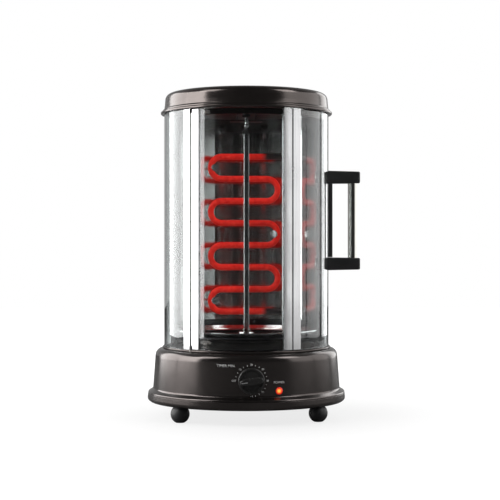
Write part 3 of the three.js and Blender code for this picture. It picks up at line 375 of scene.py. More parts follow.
class Finish:
    """A node material under construction: one Principled shader and the patterns that feed it."""

    def __init__(self, name, colour, metallic=0.0, roughness=0.4, **constants):
        self.material = bpy.data.materials.new(name)
        self.material.use_nodes = True
        self.nodes = self.material.node_tree.nodes
        self.links = self.material.node_tree.links
        self.shader = next(node for node in self.nodes if node.type == "BSDF_PRINCIPLED")
        self.shader.inputs["Base Color"].default_value = (*colour, 1)
        self.shader.inputs["Metallic"].default_value = metallic
        self.shader.inputs["Roughness"].default_value = roughness
        for socket, value in constants.items():
            self.shader.inputs[socket.replace("_", " ")].default_value = value
        self.place = self.nodes.new("ShaderNodeTexCoord").outputs["Object"]

    def noise(self, scale, stretch=(1, 1, 1), detail=3.0, sharpness=0.5):
        """Soft noise on Object coordinates; scale is in features per metre, stretch squeezes each axis."""
        mapping = self.nodes.new("ShaderNodeMapping")
        mapping.inputs["Scale"].default_value = stretch
        self.links.new(self.place, mapping.inputs["Vector"])
        noise = self.nodes.new("ShaderNodeTexNoise")
        noise.inputs["Scale"].default_value = scale
        noise.inputs["Detail"].default_value = detail
        noise.inputs["Roughness"].default_value = sharpness
        self.links.new(mapping.outputs["Vector"], noise.inputs["Vector"])
        return noise.outputs["Fac"]

    def spread(self, source, low, high, from_low=0.3, from_high=0.7):
        """Maps a pattern's usual range onto low to high."""
        node = self.nodes.new("ShaderNodeMapRange")
        node.inputs["From Min"].default_value = from_low
        node.inputs["From Max"].default_value = from_high
        node.inputs["To Min"].default_value = low
        node.inputs["To Max"].default_value = high
        self.links.new(source, node.inputs["Value"])
        return node.outputs["Result"]

    def maths(self, kind, first, second=0.0):
        """The result of one Math node on two inputs, each a socket or a number."""
        node = self.nodes.new("ShaderNodeMath")
        node.operation = kind
        for socket, value in zip(node.inputs, (first, second)):
            if isinstance(value, float):
                socket.default_value = value
            else:
                self.links.new(value, socket)
        return node.outputs["Value"]

    def rough(self, source, low, high):
        """Roughness runs from low to high over the pattern's usual range."""
        self.links.new(self.spread(source, low, high), self.shader.inputs["Roughness"])
        return self

    def tint(self, source, first, second, low=0.3, high=0.7):
        """Colour runs from first to second as the pattern goes from low to high."""
        mix = self.nodes.new("ShaderNodeMix")
        mix.data_type = "RGBA"
        mix.inputs["A"].default_value = (*first, 1)
        mix.inputs["B"].default_value = (*second, 1)
        self.links.new(self.spread(source, 0, 1, low, high), mix.inputs["Factor"])
        self.links.new(mix.outputs["Result"], self.shader.inputs["Base Color"])
        return mix

    def worn(self, mix, colour, amount=0.5):
        """Lays a rubbed colour over the sharp outer edges, where the surface's pointedness is high."""
        edge = self.nodes.new("ShaderNodeNewGeometry").outputs["Pointiness"]
        over = self.nodes.new("ShaderNodeMix")
        over.data_type = "RGBA"
        over.inputs["B"].default_value = (*colour, 1)
        self.links.new(mix.outputs["Result"], over.inputs["A"])
        self.links.new(self.spread(edge, 0, amount, 0.52, 0.62), over.inputs["Factor"])
        self.links.new(over.outputs["Result"], self.shader.inputs["Base Color"])
        return self

    def bump(self, source, height, strength=1.0):
        """Tilts the shading normal by the pattern, as a relief of the given height in metres."""
        node = self.nodes.new("ShaderNodeBump")
        node.inputs["Distance"].default_value = height
        node.inputs["Strength"].default_value = strength
        self.links.new(source, node.inputs["Height"])
        self.links.new(node.outputs["Normal"], self.shader.inputs["Normal"])
        return self


FINISHES = {}


def shade(colour, factor):
    """A colour made darker or lighter, each channel times a factor and at most one."""
    return tuple(min(1.0, channel * factor) for channel in colour)


def satin_paint(name, colour, roughness):
    """Sprayed metallic enamel: faint orange peel, slow variation in gloss and rubbed edges."""
    finish = Finish(name, colour, metallic=0.95, roughness=roughness, Specular_IOR_Level=0.25)
    cloud = finish.noise(14, detail=4)
    mix = finish.tint(cloud, shade(colour, 0.85), shade(colour, 1.18))
    finish.worn(mix, shade(colour, 3.0), 0.35)
    finish.rough(finish.noise(38, detail=5), roughness - 0.03, roughness + 0.03)
    finish.bump(finish.noise(900, detail=2), 0.02 * MM, 0.25)
    return finish.material


def moulded_plastic(name, colour, roughness, grain=0.03):
    """Moulded plastic: fine pitted grain and slightly greyed edges."""
    finish = Finish(name, colour, roughness=roughness)
    mix = finish.tint(finish.noise(25, detail=4), shade(colour, 0.8), shade(colour, 1.25))
    finish.worn(mix, shade(colour, 4.0), 0.3)
    finish.rough(finish.noise(120, detail=4), roughness - 0.06, roughness + 0.06)
    finish.bump(finish.noise(2200, detail=2), grain * MM, 0.5)
    return finish.material


def brushed_metal(name, colour, roughness, stretch, depth=0.012, anisotropy=0.0, swing=0.0):
    """Metal with fine drawn lines: noise squeezed across the lines drives gloss, tint and a shallow bump."""
    finish = Finish(name, colour, metallic=1.0, roughness=roughness, Anisotropic=anisotropy)
    lines = finish.noise(60, stretch, detail=6, sharpness=0.7)
    mix = finish.tint(lines, shade(colour, 0.9), shade(colour, 1.06))
    finish.worn(mix, shade(colour, 1.25), 0.4)
    if swing:
        finish.rough(lines, roughness, roughness + swing)
    else:
        finish.rough(finish.noise(26, detail=4), max(0.02, roughness - 0.05), roughness + 0.07)
    finish.bump(lines, depth * MM, 0.4)
    return finish.material


def clear_glass():
    """Flat grey-tinted glass with a trace of wiped film in its gloss."""
    colour = (0.80, 0.83, 0.83)
    finish = Finish("door_glass", colour, roughness=0.02, Transmission_Weight=1.0, IOR=1.45)
    film = finish.noise(9, (1, 1, 0.35), detail=5)
    finish.tint(film, shade(colour, 0.97), shade(colour, 1.03))
    finish.links.new(finish.spread(film, 0.0, 0.05, 0.45, 0.75), finish.shader.inputs["Roughness"])
    return finish.material


def hot_tube(colour, strength):
    """The heater's sheath: mottled red glow, with grey scale on the cold ends of the first and last run, and
    painted shade in the glow: full on the upper side of the tube, falling to under half on its lower side.
    """
    finish = Finish("heater_sheath", (0.3, 0.03, 0.02), roughness=0.55, Specular_IOR_Level=0.25)
    split = finish.nodes.new("ShaderNodeSeparateXYZ")
    finish.links.new(finish.place, split.inputs["Vector"])
    low, high = node_heights("heater_tube")
    middle = (low + high) / 2
    level = finish.maths("ABSOLUTE", finish.maths("SUBTRACT", split.outputs["Z"], middle))
    outer_run = finish.spread(level, 0, 1, high - middle - 12 * MM, high - middle - 10 * MM)
    past_end = finish.spread(split.outputs["X"], 0, 1, SPIT_X + 25 * MM, SPIT_X + 34 * MM)
    hot = finish.maths("SUBTRACT", 1.0, finish.maths("MULTIPLY", outer_run, past_end))
    mottle = finish.noise(160, detail=4)
    skin = finish.tint(mottle, (0.28, 0.02, 0.015), (0.42, 0.05, 0.03))
    cover = finish.nodes.new("ShaderNodeMix")
    cover.data_type = "RGBA"
    cover.inputs["A"].default_value = (0.10, 0.09, 0.09, 1)
    finish.links.new(hot, cover.inputs["Factor"])
    finish.links.new(skin.outputs["Result"], cover.inputs["B"])
    finish.links.new(cover.outputs["Result"], finish.shader.inputs["Base Color"])
    glow = finish.nodes.new("ShaderNodeMix")
    glow.data_type = "RGBA"
    glow.inputs["A"].default_value = (*shade(colour, 0.82), 1)
    glow.inputs["B"].default_value = (*shade(colour, 1.1), 1)
    finish.links.new(finish.spread(mottle, 0, 1), glow.inputs["Factor"])
    finish.links.new(glow.outputs["Result"], finish.shader.inputs["Emission Color"])
    uneven = finish.spread(finish.noise(11, detail=2), 0.62 * strength, 1.08 * strength, 0.35, 0.6)
    # Painted shade: the glow is scaled by the height of the surface normal, so the tube's upper side glows
    # brighter and its lower side darker.
    facing = finish.nodes.new("ShaderNodeSeparateXYZ")
    finish.links.new(finish.nodes.new("ShaderNodeNewGeometry").outputs["Normal"], facing.inputs["Vector"])
    glow_with_painted_shade = finish.maths("MULTIPLY", uneven, finish.spread(facing.outputs["Z"], 0.45, 1.0, -0.9, 0.5))
    finish.links.new(finish.maths("MULTIPLY", glow_with_painted_shade, hot), finish.shader.inputs["Emission Strength"])
    finish.bump(finish.noise(1200, detail=2), 0.03 * MM, 0.4)
    return finish.material


def lit_lens():
    """Ribbed red lens with a bright orange middle where the lamp sits behind it."""
    finish = Finish("lamp_lens_red", (0.75, 0.05, 0.02), roughness=0.12)
    centre = node_middle("lamp_lens")
    mapping = finish.nodes.new("ShaderNodeMapping")
    mapping.inputs["Location"].default_value = (-centre.x, 0, -centre.z)
    mapping.inputs["Scale"].default_value = (1, 0, 1)
    finish.links.new(finish.place, mapping.inputs["Vector"])
    distance = finish.nodes.new("ShaderNodeVectorMath")
    distance.operation = "LENGTH"
    finish.links.new(mapping.outputs["Vector"], distance.inputs[0])
    glow = finish.nodes.new("ShaderNodeMix")
    glow.data_type = "RGBA"
    glow.inputs["A"].default_value = (1.0, 0.50, 0.08, 1)
    glow.inputs["B"].default_value = (0.42, 0.008, 0.004, 1)
    ring = finish.spread(distance.outputs["Value"], 0, 1, 0.8 * MM, 3.6 * MM)
    finish.links.new(ring, glow.inputs["Factor"])
    finish.links.new(glow.outputs["Result"], finish.shader.inputs["Emission Color"])
    finish.shader.inputs["Emission Strength"].default_value = 1.25
    finish.tint(finish.noise(300), (0.5, 0.02, 0.01), (0.65, 0.04, 0.02))
    finish.bump(finish.noise(700, (1, 1, 4)), 0.05 * MM, 0.5)
    return finish.material


def make_finishes():
    """All finishes of the oven, by name."""
    chosen = settings()
    housing = tuple(chosen.housing_colour)
    trim = tuple(chosen.trim_colour)
    FINISHES.update(
        housing=satin_paint("base_enamel", housing, 0.19),
        trim=satin_paint("trim_enamel", trim, 0.19),
        plastic=moulded_plastic("handle_plastic", (0.016, 0.016, 0.017), 0.36),
        inner_plastic=moulded_plastic("inner_plastic", (0.022, 0.022, 0.023), 0.5),
        knob=moulded_plastic("knob_plastic", (0.016, 0.0155, 0.015), 0.24, 0.006),
        rubber=moulded_plastic("foot_rubber", (0.012, 0.012, 0.013), 0.55, 0.05),
        aluminium=brushed_metal("post_aluminium", (0.50, 0.50, 0.505), 0.22, (14, 14, 0.25), anisotropy=0.2),
        chrome=brushed_metal("handle_chrome", (0.60, 0.59, 0.56), 0.07, (9, 9, 0.5), 0.004),
        steel=brushed_metal("pan_steel", (0.74, 0.74, 0.74), 0.17, (3, 3, 3), 0.008),
        spit=brushed_metal("spit_steel", (0.74, 0.74, 0.75), 0.16, (9, 9, 0.4), 0.006),
        dark_steel=brushed_metal("inner_steel", (0.16, 0.16, 0.165), 0.34, (5, 5, 0.6), 0.02),
        back_sheet=brushed_metal("back_sheet", (0.085, 0.085, 0.087), 0.20, (8, 8, 0.3), 0.01),
        reflector=brushed_metal(
            "reflector_sheet", (0.46, 0.46, 0.45), 0.08, (1.4, 1.4, 0.012), 0.004, swing=0.14
        ),
        brass=brushed_metal("bush_brass", (0.62, 0.45, 0.18), 0.3, (6, 6, 1), 0.01),
        ceramic=moulded_plastic("terminal_ceramic", (0.72, 0.68, 0.58), 0.6, 0.05),
        ink=moulded_plastic("dial_ink", (0.80, 0.80, 0.79), 0.45, 0.004),
        pointer=moulded_plastic("pointer_ink", (0.18, 0.18, 0.18), 0.4, 0.004),
        glass=clear_glass(),
        heater=hot_tube(tuple(chosen.heater_colour), chosen.heater_strength),
        lens=lit_lens(),
    )


CARRIED = {
    "base_plate": "dark_steel", "gear_motor": "dark_steel", "motor_strap": "dark_steel",
    "cavity_floor": "dark_steel", "inner_top_plate": "dark_steel", "spit_bracket": "dark_steel",
    "timer_body": "inner_plastic", "lamp_holder": "inner_plastic", "thermal_cutout": "inner_plastic",
    "drive_shaft": "steel", "timer_shaft": "brass", "terminal_block": "ceramic",
}


# ------------------------------------------------------------------ base

BASE_BOTTOM, BASE_TOP = node_heights("base_shell")
BASE_HALF_WIDTH = node_radius("base_shell")
SHOULDER = GLASS_RADIUS + 11.9 * MM
WAIST = SHOULDER + 4.2 * MM
LEDGE = BASE_BOTTOM + 18.2 * MM


def depth_share(height):
    """Depth of the oval base over its width, straight-line from skirt to top."""
    return 0.93 + (0.985 - 0.93) * (height - BASE_BOTTOM) / (BASE_TOP - BASE_BOTTOM)


def base_profile():
    """(radius, height) outline of the pressed housing, outside down to the rolled skirt and back inside."""
    top = BASE_TOP
    foot = BASE_BOTTOM
    half = BASE_HALF_WIDTH
    wall = 2.2 * MM
    corners = [
        (7 * MM, top, 0),
        (SHOULDER, top, 10.5 * MM),
        (WAIST, LEDGE, 3.5 * MM),
        (half - 1.6 * MM, foot + 14.6 * MM, 1.6 * MM),
        (half - 0.8 * MM, foot + 13.2 * MM, 0.4 * MM),
        (half - 1.9 * MM, foot + 12.5 * MM, 0.3 * MM),
        (half - 0.7 * MM, foot + 11.8 * MM, 0.4 * MM),
        (half + 0.1 * MM, foot + 3.2 * MM, 5.5 * MM),
        (half - 4 * MM, foot, 3 * MM),
        (half - 7 * MM, foot, 0.6 * MM),
        (half - 7 * MM, foot + wall, 0.6 * MM),
        (half - 3.4 * MM, foot + wall + 0.4 * MM, 2 * MM),
        (half - 3.4 * MM, foot + 11 * MM, 3 * MM),
        (WAIST - wall, LEDGE - 1 * MM, 4 * MM),
        (SHOULDER - wall, top - wall, 8.5 * MM),
        (7 * MM, top - wall, 0),
    ]
    return rounded(corners, steps=7)


def base_front(x, height):
    """Y of the housing's front at a distance x from the spit and a height, by the oval's equation."""
    reach = SHOULDER + (WAIST - SHOULDER) * (BASE_TOP - height) / (BASE_TOP - LEDGE)
    return SPIT_Y - depth_share(height) * np.sqrt(np.maximum(reach**2 - x**2, 0))


def build_base():
    """Housing turned from its profile, its depth drawn in by the oval's share at each height."""
    points, faces = turned(base_profile(), 192)
    points[:, 1] *= depth_share(points[:, 2])
    points[:, :2] += (SPIT_X, SPIT_Y)
    piece("oven_base", (points, faces), FINISHES["housing"], "housing", ["base_shell"])


def build_feet():
    """Rubber feet: a ball cut flat where it stands, then neck, collar and barbed stud, turned as one."""
    contact = 6 * MM
    collar = 20.5 * MM
    for node in ("foot_front_left", "foot_front_right", "foot_rear_left", "foot_rear_right"):
        bottom, top = node_heights(node)
        radius = node_radius(node)
        middle = bottom + math.sqrt(radius**2 - contact**2)
        neck = math.asin((collar - middle) / radius)
        sweep = np.linspace(-math.acos(contact / radius), neck, 25)
        ball = np.stack([radius * np.cos(sweep), middle + radius * np.sin(sweep)], -1)
        corners = [
            (ball[-1, 0], ball[-1, 1], 0), (7 * MM, collar, 0.3 * MM), (7 * MM, 23.6 * MM, 0.4 * MM),
            (3 * MM, 23.7 * MM, 0), (3 * MM, top - 2 * MM, 0), (4.8 * MM, top - 2 * MM, 0.4 * MM),
            (3 * MM, top, 0.6 * MM), (0, top, 0),
        ]
        stud = rounded(corners, closed=False, steps=3)
        profile = np.concatenate([[[0, bottom]], ball, stud[1:]])
        solid = turned(profile, 64, node_middle(node).xy)
        piece("rubber_" + node, solid, FINISHES["rubber"], "housing", [node])


# ------------------------------------------------------------------ controls


def lettering(text, size):
    """Flat letters as a mesh: points in their own plane, centred on the origin, and faces."""
    curve = bpy.data.curves.new("letters", "FONT")
    curve.body = text
    curve.size = size
    curve.align_x = "CENTER"
    curve.align_y = "CENTER"
    holder = bpy.data.objects.new("letters", curve)
    bpy.context.scene.collection.objects.link(holder)
    bpy.context.view_layer.update()
    shape = holder.evaluated_get(bpy.context.evaluated_depsgraph_get()).to_mesh()
    points = np.zeros(len(shape.vertices) * 3)
    shape.vertices.foreach_get("co", points)
    faces = [list(face.vertices) for face in shape.polygons]
    holder.to_mesh_clear()
    bpy.data.objects.remove(holder)
    bpy.data.curves.remove(curve)
    return points.reshape(-1, 3), faces


def printed(points, faces, x, height):
    """Flat print wrapped on the housing's front, centred at x from the spit and at a height."""
    across = x + points[:, 0]
    up = height + points[:, 1]
    depth = base_front(across, up) - 0.12 * MM
    return np.stack([SPIT_X + across, depth, up], -1), faces


def build_dial():
    """Timer scale and captions: numbers at angles 180 - 45 n on a ring round the knob, two marks between."""
    knob = node_middle("timer_knob")
    lamp = node_middle("lamp_lens")
    ring = settings().mark_radius
    count = 7
    mark = rounded([(-0.35, -0.9, 0.3), (0.35, -0.9, 0.3), (0.35, 0.9, 0.3), (-0.35, 0.9, 0.3)], steps=2) * MM
    mark_face = [list(range(len(mark)))]
    prints = []
    for index in range(count):
        angle = math.radians(180 - 45 * index)
        text = str(10 * index) if index else "OFF"
        aside = 0.0 if index else 1.6 * MM
        points, faces = lettering(text, 3.6 * MM)
        across = math.cos(angle) * ring - aside
        prints.append(printed(points, faces, across, knob.z + math.sin(angle) * ring))
        if index + 1 == count:
            continue
        for share in (1 / 3, 2 / 3):
            between = math.radians(180 - 45 * (index + share))
            across = math.cos(between) * ring * 0.97
            height = knob.z + math.sin(between) * ring * 0.97
            prints.append(printed(spun(mark, between - math.pi / 2), mark_face, across, height))
    prints.append(printed(*lettering("TIMER MIN.", 5.0 * MM), -34.2 * MM, knob.z + 20 * MM))
    prints.append(printed(*lettering("POWER", 4.3 * MM), lamp.x - SPIT_X, lamp.z + 11.5 * MM))
    made = piece("dial_print", joined(*prints), FINISHES["ink"], "housing")
    thicken = made.modifiers.new("ink_thickness", "SOLIDIFY")
    thicken.thickness = 0.06 * MM
    thicken.offset = 0


def knob_solid():
    """Round skirt with a dished face, and a finger bar of superellipse sections lofted up from it.

    The bar's levels rise evenly to its crown and then as a sine, while its sections shrink by the
    0.35th power of a cosine, which rounds its end.
    """
    low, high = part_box("timer_knob")
    radius = (high.x - low.x) / 2
    depth = high.y - low.y
    skirt = rounded(
        [
            (0, 0, 0), (radius, 0, 0.5 * MM), (radius, 5.2 * MM, 1.6 * MM),
            (radius - 2.6 * MM, 5.8 * MM, 1 * MM), (radius - 5 * MM, 4.6 * MM, 3 * MM), (0, 4.2 * MM, 0),
        ],
        closed=False,
    )
    skirt_solid = turned(skirt, 96)
    crown = depth - 2.2 * MM
    dome = crown + 2.1 * MM * np.sin(np.linspace(0.25, 1, 7) * np.pi / 2)
    levels = np.concatenate([np.linspace(3 * MM, crown, 6), dome])
    slim = 0.93
    closing = slim * np.cos(np.linspace(0.12, 0.9, 7) * np.pi / 2) ** 0.35
    draw = np.concatenate([np.linspace(1, slim, 6), closing])
    half_long = radius * 0.93 * draw
    half_wide = radius * 0.27 * draw
    across, up = superellipse(half_long, half_wide, np.full(len(levels), 3.2), 64)
    rows = np.stack([across, up, np.repeat(levels[:, None], 64, 1)], -1)
    return joined(skirt_solid, lofted(rows)), depth


def build_knob():
    """Knob and pointer line, made upright, spun about their axis to the off mark and laid to face front."""
    solid, depth = knob_solid()
    centre = node_middle("timer_knob")
    seat = np.array([centre.x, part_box("timer_knob")[1].y, centre.z])
    turn = settings().knob_turn
    line = [(-14.2, -0.55, 0.4), (-5.5, -0.55, 0.4), (-5.5, 0.55, 0.4), (-14.2, 0.55, 0.4)]
    pointer = raised(rounded(line, steps=3) * MM, depth - 0.25 * MM, depth - 0.02 * MM)
    facing = laid(spun(solid[0], turn), (0, -1, 0)) + seat
    piece("knob", (facing, solid[1]), FINISHES["knob"], "timer", ["timer_knob"])
    facing = laid(spun(pointer[0], turn), (0, -1, 0)) + seat
    piece("knob_pointer", (facing, pointer[1]), FINISHES["pointer"], "timer")


def build_lamp():
    """Domed lens and the bezel round it, both turned and laid along the line from the spit to the lamp."""
    low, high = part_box("lamp_lens")
    centre = node_middle("lamp_lens")
    radius = (high.z - low.z) / 2
    direction = (centre.x - SPIT_X, centre.y - SPIT_Y, 0)
    lens = rounded(
        [
            (0, -5.5 * MM, 0), (radius, -5.5 * MM, 0), (radius, 0.2 * MM, 0.4 * MM),
            (radius * 0.82, 2.4 * MM, 2 * MM), (0, 3.1 * MM, 0),
        ],
        closed=False,
    )
    points, faces = turned(lens, 64)
    place = laid(points, direction) + np.array(centre)
    piece("lamp_jewel", (place, faces), FINISHES["lens"], "housing", ["lamp_lens"])
    bezel = rounded(
        [
            (radius + 0.15 * MM, -4 * MM, 0), (radius + 1.3 * MM, -4 * MM, 0),
            (radius + 1.3 * MM, 1.1 * MM, 0.5 * MM), (radius + 0.15 * MM, 1.1 * MM, 0.4 * MM),
        ],
        steps=4,
    )
    points, faces = turned(bezel, 64)
    place = laid(points, direction) + np.array(centre)
    piece("lamp_bezel", (place, faces), FINISHES["knob"], "housing")


def build_inlet():
    """The bushed cord hole at the rear: a profile with a rounded lip, turned and laid away from the spit."""
    centre = node_middle("cord_inlet")
    direction = np.array([centre.x - SPIT_X, centre.y - SPIT_Y, 0.0])
    direction /= np.linalg.norm(direction)
    profile = rounded(
        [
            (3.2 * MM, -8 * MM, 0.3 * MM), (5 * MM, -8 * MM, 0.3 * MM), (5 * MM, 2.6 * MM, 0),
            (8 * MM, 2.6 * MM, 0.4 * MM), (7.6 * MM, 4.4 * MM, 1.2 * MM), (5.2 * MM, 5.6 * MM, 1 * MM),
            (3.2 * MM, 5.6 * MM, 0.8 * MM),
        ]
    )
    points, faces = turned(profile, 64)
    place = laid(points, direction) + np.array(centre) - direction * 0.4 * MM
    piece("cord_bush", (place, faces), FINISHES["inner_plastic"], "housing", ["cord_inlet"])


# ------------------------------------------------------------------ rings, cap and top fittings


def band(node, edge):
    """A flat ring as large as its CAD node, its outer edges rounded: a four-cornered profile turned."""
    bottom, top = node_heights(node)
    outer = node_radius(node)
    inner = GLASS_RADIUS - 8 * MM
    corners = [(inner, bottom, 0.2 * MM), (outer, bottom, edge), (outer, top, edge), (inner, top, 0.2 * MM)]
    return turned(rounded(corners, steps=4), 192, (SPIT_X, SPIT_Y))


def build_rings():
    """Lower and upper ring of the cage."""
    for name, node, edge in (("ring_lower", "lower_ring", 0.8 * MM), ("ring_upper", "upper_ring", 1.2 * MM)):
        piece(name, band(node, edge), FINISHES["trim"], "housing", [node])


def build_cap():
    """Domed cap with a rounded shoulder and a rolled brim, turned from its outside back to its inside."""
    bottom, top = node_heights("top_cap")
    rim = node_radius("top_cap")
    fillet = settings().cap_fillet
    wall = 1.2 * MM
    side = rim - 3.8 * MM
    corners = [
        (0, top, 0),
        (side * 0.75, top - 0.15 * MM, 80 * MM),
        (side - 0.3 * MM, top - 0.9 * MM, fillet),
        (side + 1.1 * MM, bottom + 9 * MM, 40 * MM),
        (side + 1.9 * MM, bottom + 3.4 * MM, 1.2 * MM),
        (rim, bottom + 2.0 * MM, 1.0 * MM),
        (rim, bottom, 0.5 * MM),
        (rim - wall, bottom, 0.3 * MM),
        (rim - wall - 1.5 * MM, bottom + 4 * MM, 1 * MM),
        (side - wall, top - 8 * MM, 8 * MM),
        (side - wall - 5 * MM, top - 2.2 * MM, 5 * MM),
        (0, top - 1.4 * MM, 0),
    ]
    solid = turned(rounded(corners, closed=False, steps=10), 192, (SPIT_X, SPIT_Y))
    piece("cap", solid, FINISHES["trim"], "housing", ["top_cap"])


def build_bearing():
    """Stepped cup under the cap that the spit's pin turns in."""
    bottom, top = node_heights("spit_bearing")
    bore = 2.07 * MM
    corners = [
        (0, top, 0), (4.6 * MM, top, 0.6 * MM), (6 * MM, bottom + 8 * MM, 0.5 * MM),
        (10 * MM, bottom + 8 * MM, 0.4 * MM),
        (10 * MM, bottom + 7 * MM, 0.3 * MM), (6 * MM, bottom + 7 * MM, 0), (6 * MM, bottom, 0.9 * MM),
        (bore + 0.6 * MM, bottom, 0.3 * MM), (bore, bottom + 0.8 * MM, 0), (bore, top - 2 * MM, 0),
        (0, top - 2 * MM, 0),
    ]
    solid = turned(rounded(corners, closed=False, steps=3), 64, (SPIT_X, SPIT_Y))
    piece("bearing_cup", solid, FINISHES["inner_plastic"], "housing", ["spit_bearing"])


# ------------------------------------------------------------------ cage and door


def post_edge(edge, side):
    """The slotted side of a post, from its face to its back; side points into the post."""
    depth = edge + side * math.degrees(4.3 * MM / GLASS_RADIUS)
    slot_out = GLASS_RADIUS + 0.3 * MM
    slot_in = GLASS_RADIUS - 3.3 * MM
    return [
        (POST_FACE, edge, 0.7 * MM), (slot_out, edge, 0.1 * MM), (slot_out, depth, 0), (slot_in, depth, 0),
        (slot_in, edge, 0.2 * MM), (POST_BACK, edge, 0.8 * MM),
    ]


def half_post(centre, side):
    """Half a post: rounded face, glass slot on its outer side, plain side at the groove."""
    groove = centre + side * HALF_GROOVE
    corners = post_edge(centre + side * HALF_POST, -side)
    corners += [(POST_BACK, groove, 0.3 * MM), (POST_FACE, groove, 0.6 * MM)]
    return polar_outline(corners, fineness=0.7)


def whole_post(centre):
    """A whole post with a slot in both sides and the groove down its face."""
    floor = POST_FACE - settings().groove_depth
    corners = post_edge(centre - HALF_POST, 1) + post_edge(centre + HALF_POST, -1)[::-1]
    corners += [
        (POST_FACE, centre + HALF_GROOVE, 0.5 * MM), (floor, centre + HALF_GROOVE * 0.8, 0.3 * MM),
        (floor, centre - HALF_GROOVE * 0.8, 0.3 * MM), (POST_FACE, centre - HALF_GROOVE, 0.5 * MM),
    ]
    return polar_outline(corners, fineness=0.7)


def curved_bar(inner, outer, start, end, fillet=0.3 * MM, fineness=1.0):
    """An arc strip between two radii and two angles."""
    return polar_outline(
        [(inner, start, fillet), (outer, start, fillet), (outer, end, fillet), (inner, end, fillet)],
        fineness=fineness,
    )


def rear_post():
    """The post behind the reflector: it has no slots, and its back stands just behind the rear sheet."""
    back = GLASS_RADIUS - 2.7 * MM
    floor = POST_FACE - settings().groove_depth
    half = [
        (back, HALF_POST, 0.2 * MM), (POST_FACE, HALF_POST, 1 * MM),
        (POST_FACE, HALF_GROOVE, 0.5 * MM), (floor, HALF_GROOVE * 0.8, 0.3 * MM),
    ]
    corners = [(radius, REAR_ANGLE - angle, fillet) for radius, angle, fillet in half]
    corners += [(radius, REAR_ANGLE + angle, fillet) for radius, angle, fillet in half[::-1]]
    return polar_outline(corners, fineness=0.7)


def build_posts():
    """Fixed posts of the cage, each an outline in plan raised from ring to ring."""
    low, high = node_heights("post_left_rear")
    posts = (
        ("bar_hinge_side", half_post(HINGE_ANGLE, -1), "post_hinge_side"),
        ("bar_left_rear", whole_post(LEFT_REAR_ANGLE), "post_left_rear"),
        ("bar_closing_side", half_post(CLOSING_ANGLE, 1), "post_closing_side"),
        ("bar_rear", rear_post(), "post_rear"),
    )
    for name, outline, node in posts:
        solid = raised(outline, low, high, 0.3 * MM)
        piece(name, solid, FINISHES["aluminium"], "housing", [node])


def build_rear_shell():
    """Rear sheet, an arc strip from the closing post round the back to the left rear post."""
    low, high = node_heights("rear_shell")
    reach = math.degrees(10 * MM / GLASS_RADIUS)
    start = CLOSING_ANGLE + reach
    end = LEFT_REAR_ANGLE + 360 - reach
    outline = curved_bar(GLASS_RADIUS - 4.2 * MM, GLASS_RADIUS - 3 * MM, start, end, 0.2 * MM)
    solid = raised(outline, low, high, 0.2 * MM)
    piece("back_panel", solid, FINISHES["back_sheet"], "housing", ["rear_shell"])


def build_panes():
    """Curved panes, arc strips whose edges reach into the slots of the posts on both sides."""
    reach = HALF_POST - math.degrees(4 * MM / GLASS_RADIUS)
    panes = (
        ("pane_left", "side_glass", "housing", LEFT_REAR_ANGLE, HINGE_ANGLE),
        ("door_pane_front", "door_glass_front", "door", HINGE_ANGLE, MULLION_ANGLE),
        ("door_pane_right", "door_glass_right", "door", MULLION_ANGLE, CLOSING_ANGLE),
    )
    for node, name, body, start, end in panes:
        low, high = node_heights(node)
        outline = curved_bar(GLASS_RADIUS - 3 * MM, GLASS_RADIUS, start + reach, end - reach, 0.4 * MM, 0.6)
        piece(name, raised(outline, low, high, 0.3 * MM), FINISHES["glass"], body, [node])


def hinge_cylinder(radius, bottom, top, edge, bore=0.0):
    """A pin, or with a bore a lug, turned about the hinge axis on the face of the left front post."""
    turn = math.radians(HINGE_ANGLE)
    centre = (SPIT_X + POST_FACE * math.sin(turn), SPIT_Y - POST_FACE * math.cos(turn))
    if bore:
        corners = [
            (bore, bottom, 0.1 * MM), (radius, bottom, edge), (radius, top, edge), (bore, top, 0.1 * MM),
        ]
        return turned(rounded(corners, steps=4), 48, centre)
    corners = [(0, bottom, 0), (radius, bottom, edge), (radius, top, edge), (0, top, 0)]
    return turned(rounded(corners, closed=False, steps=4), 48, centre)


def build_door_frame():
    """Door bars raised from their outlines in plan, arc strips as rails, and the pins the lugs turn on."""
    bright = FINISHES["aluminium"]
    low, high = node_heights("door_hinge_stile")
    lug = 5 * MM
    stile = joined(
        raised(half_post(HINGE_ANGLE, 1), low, high, 0.3 * MM),
        hinge_cylinder(2.7 * MM, low, low + lug, 0.5 * MM, 1.42 * MM),
        hinge_cylinder(2.7 * MM, high - lug, high, 0.5 * MM, 1.42 * MM),
    )
    piece("door_bar_hinge", stile, bright, "door", ["door_hinge_stile"])
    mullion = raised(whole_post(MULLION_ANGLE), low, high, 0.3 * MM)
    piece("door_bar_middle", mullion, bright, "door", ["door_mullion"])
    closing = raised(half_post(CLOSING_ANGLE, -1), low, high, 0.3 * MM)
    piece("door_bar_handle", closing, bright, "door", ["door_handle_stile"])
    start = HINGE_ANGLE + HALF_GROOVE
    end = CLOSING_ANGLE - HALF_GROOVE
    for node, name in (("door_rail_lower", "door_strip_lower"), ("door_rail_upper", "door_strip_upper")):
        bottom, top = node_heights(node)
        outline = curved_bar(POST_BACK - 2.9 * MM, POST_BACK - 0.3 * MM, start, end, 0.4 * MM)
        piece(name, raised(outline, bottom, top, 0.4 * MM), FINISHES["trim"], "door", [node])
    for node, name in (("hinge_pin_lower", "pivot_lower"), ("hinge_pin_upper", "pivot_upper")):
        bottom, top = node_heights(node)
        pin = hinge_cylinder(1.35 * MM, bottom, top, 0.3 * MM)
        piece(name, pin, FINISHES["chrome"], "housing", [node])


# ------------------------------------------------------------------ handle

STILE_ANGLE = CLOSING_ANGLE - (HALF_POST + HALF_GROOVE) / 2
HANDLE_FOOT = POST_FACE + 0.3 * MM
ARM_TIP = GLASS_RADIUS + 50 * MM


